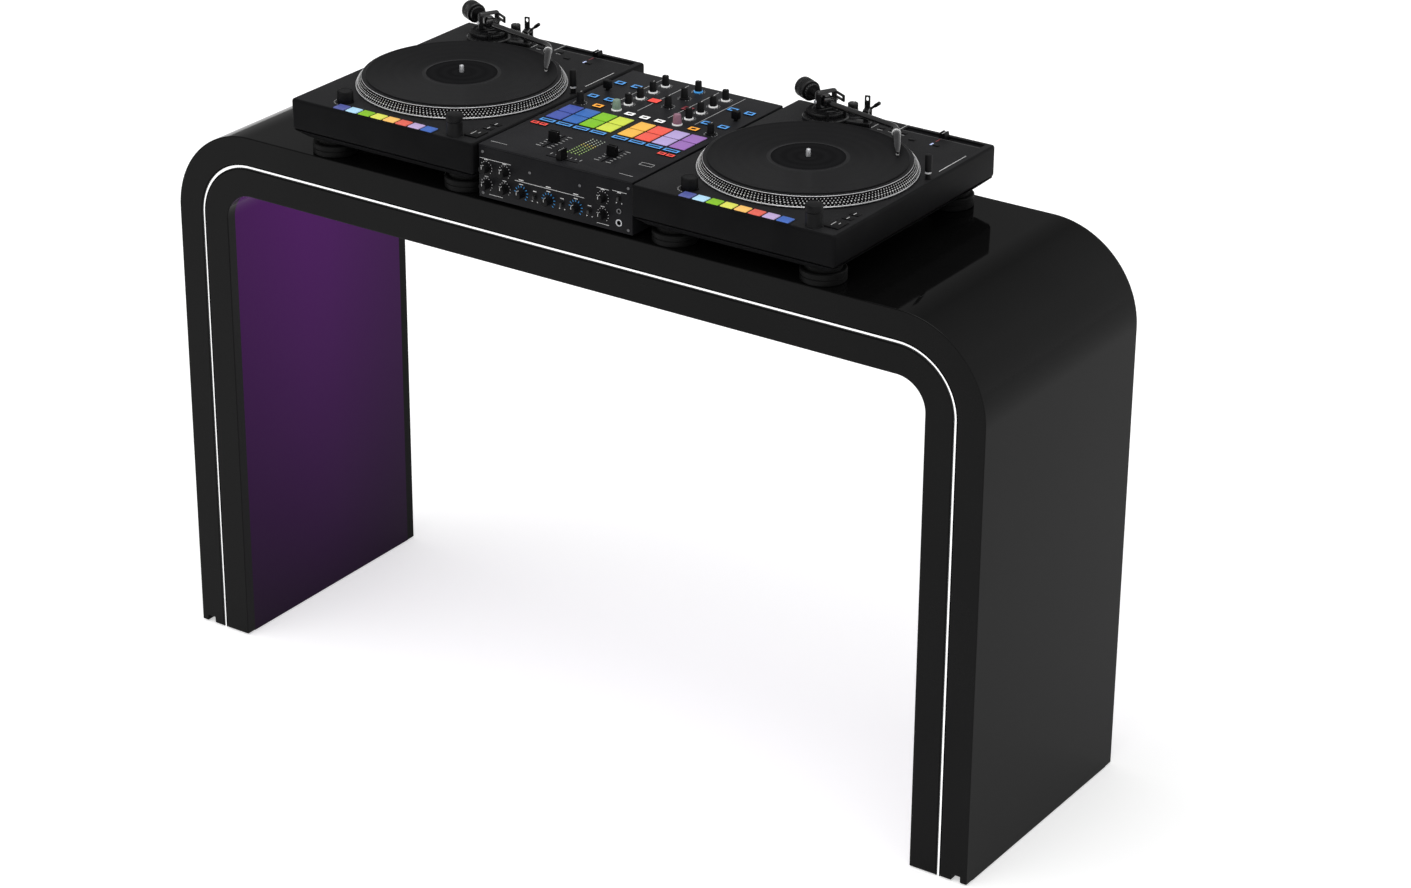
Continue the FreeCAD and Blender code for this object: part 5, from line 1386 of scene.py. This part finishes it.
for height, bore, nut in socket_sizes:
    sleeve_rings = [(bore + 0.5, -21), (bore + 0.5, 0.4), (bore + 0.4, 0.6), (bore, 0.4), (bore, -20)]
    sleeve = turned("sleeve", origin, sleeve_rings, 40)
    dress(sleeve, socket_black)
    socket_set.append(facing_player(sleeve, socket_x, height))
    nut_rings = [(nut, -0.4), (nut, 1.0), (nut - 0.6, 1.6), (bore + 1.4, 1.6), (bore + 0.5, 1.0),
                 (bore + 0.5, -0.4)]
    ring_nut = turned("ring_nut", origin, nut_rings, 40)
    dress(ring_nut, bright_metal if bore > 3 else screw_steel)
    socket_set.append(facing_player(ring_nut, socket_x, height))
sockets = joined("headphone_sockets", socket_set)
fit(sockets, "booth", "socket", "mixer_jacks")

# Floor, lamps and camera.
# A pale floor and room that read white, under broad soft lamps, with two panels that show in gloss only.
# The camera stands where the photograph was taken from.
floor_lift = 0.51
floor_mirror = 0.28
room_light = 0.22
deselect_all()
bpy.ops.mesh.primitive_plane_add(size=60, location=(0, 0, 0))
floor = named("studio_floor")
floor_paint, tree, shader, place = new_finish("floor_paint", gloss=0.1)
floor_tone = tinted(tree, mottle(tree, place, 0.4), (0.78, 0.78, 0.78), (0.8, 0.8, 0.8))
tree.links.new(floor_tone, shader.inputs["Base Color"])
shader.inputs["Roughness"].default_value = 0.9
seen = tree.nodes.new("ShaderNodeLightPath")
mirrored = combined(tree, "MAXIMUM", seen.outputs["Is Glossy Ray"], seen.outputs["Is Transmission Ray"])
to_eye = ranged(tree, seen.outputs["Is Camera Ray"], 0.0, floor_lift, 0.0, 1.0)
to_mirror = ranged(tree, mirrored, 0.0, floor_mirror, 0.0, 1.0)
shader.inputs["Emission Color"].default_value = (1, 1, 1, 1)
tree.links.new(combined(tree, "MAXIMUM", to_eye, to_mirror), shader.inputs["Emission Strength"])
dress(floor, floor_paint)

world = bpy.data.worlds.new("studio")
bpy.context.scene.world = world
world.use_nodes = True
tree = world.node_tree
background = tree.nodes["Background"]
background.inputs["Color"].default_value = (1, 1, 1, 1)
sight = tree.nodes.new("ShaderNodeLightPath")
sky = tree.nodes.new("ShaderNodeSeparateXYZ")
tree.links.new(tree.nodes.new("ShaderNodeTexCoord").outputs["Generated"], sky.inputs["Vector"])
top_panel = ranged(tree, sky.outputs["Z"], 0.3, 3.4, 0.87, 0.97)
side_panel = ranged(tree, sky.outputs["X"], 0.3, 1.1, -0.2, 0.45)
panels = combined(tree, "MAXIMUM", top_panel, side_panel)
mirrored = combined(tree, "MULTIPLY", panels, sight.outputs["Is Glossy Ray"])
to_eye = ranged(tree, sight.outputs["Is Camera Ray"], room_light, 1.0, 0.0, 1.0)
tree.links.new(combined(tree, "MAXIMUM", mirrored, to_eye), background.inputs["Strength"])


def broad_lamp(name, towards, spread, strength):
    """A distant lamp that shines one way from a broad patch of the room, and isn't mirrored itself."""
    data = bpy.data.lights.new(name, "SUN")
    data.angle = math.radians(spread)
    data.energy = strength
    lamp = bpy.data.objects.new(name, data)
    bpy.context.scene.collection.objects.link(lamp)
    lamp.rotation_euler = Vector(towards).to_track_quat("-Z", "Y").to_euler()
    lamp.visible_glossy = False


broad_lamp("key_lamp", (0.5, 0.55, -1.0), 70, 1.5)
broad_lamp("fill_lamp", (-0.6, 0.5, -1.0), 80, 0.7)
broad_lamp("back_lamp", (0.1, -0.8, -1.0), 80, 0.5)

camera_place = (3.1069, -4.4280, 2.9749)
camera_aim = Vector((-0.5059, 0.7511, -0.4242))
camera_roll = math.radians(0.44)
camera_data = bpy.data.cameras.new("photo_camera")
camera_data.sensor_width = 36
camera_data.lens = 95.87
camera_data.clip_end = 100
camera_data.shift_x = 0.001
camera_data.shift_y = 0.002
camera = bpy.data.objects.new("photo_camera", camera_data)
bpy.context.scene.collection.objects.link(camera)
camera.location = camera_place
look = camera_aim.to_track_quat("-Z", "Y")
camera.rotation_euler = (look @ Quaternion((0, 0, 1), camera_roll)).to_euler()
bpy.context.scene.camera = camera
bpy.context.scene.view_settings.view_transform = "Standard"
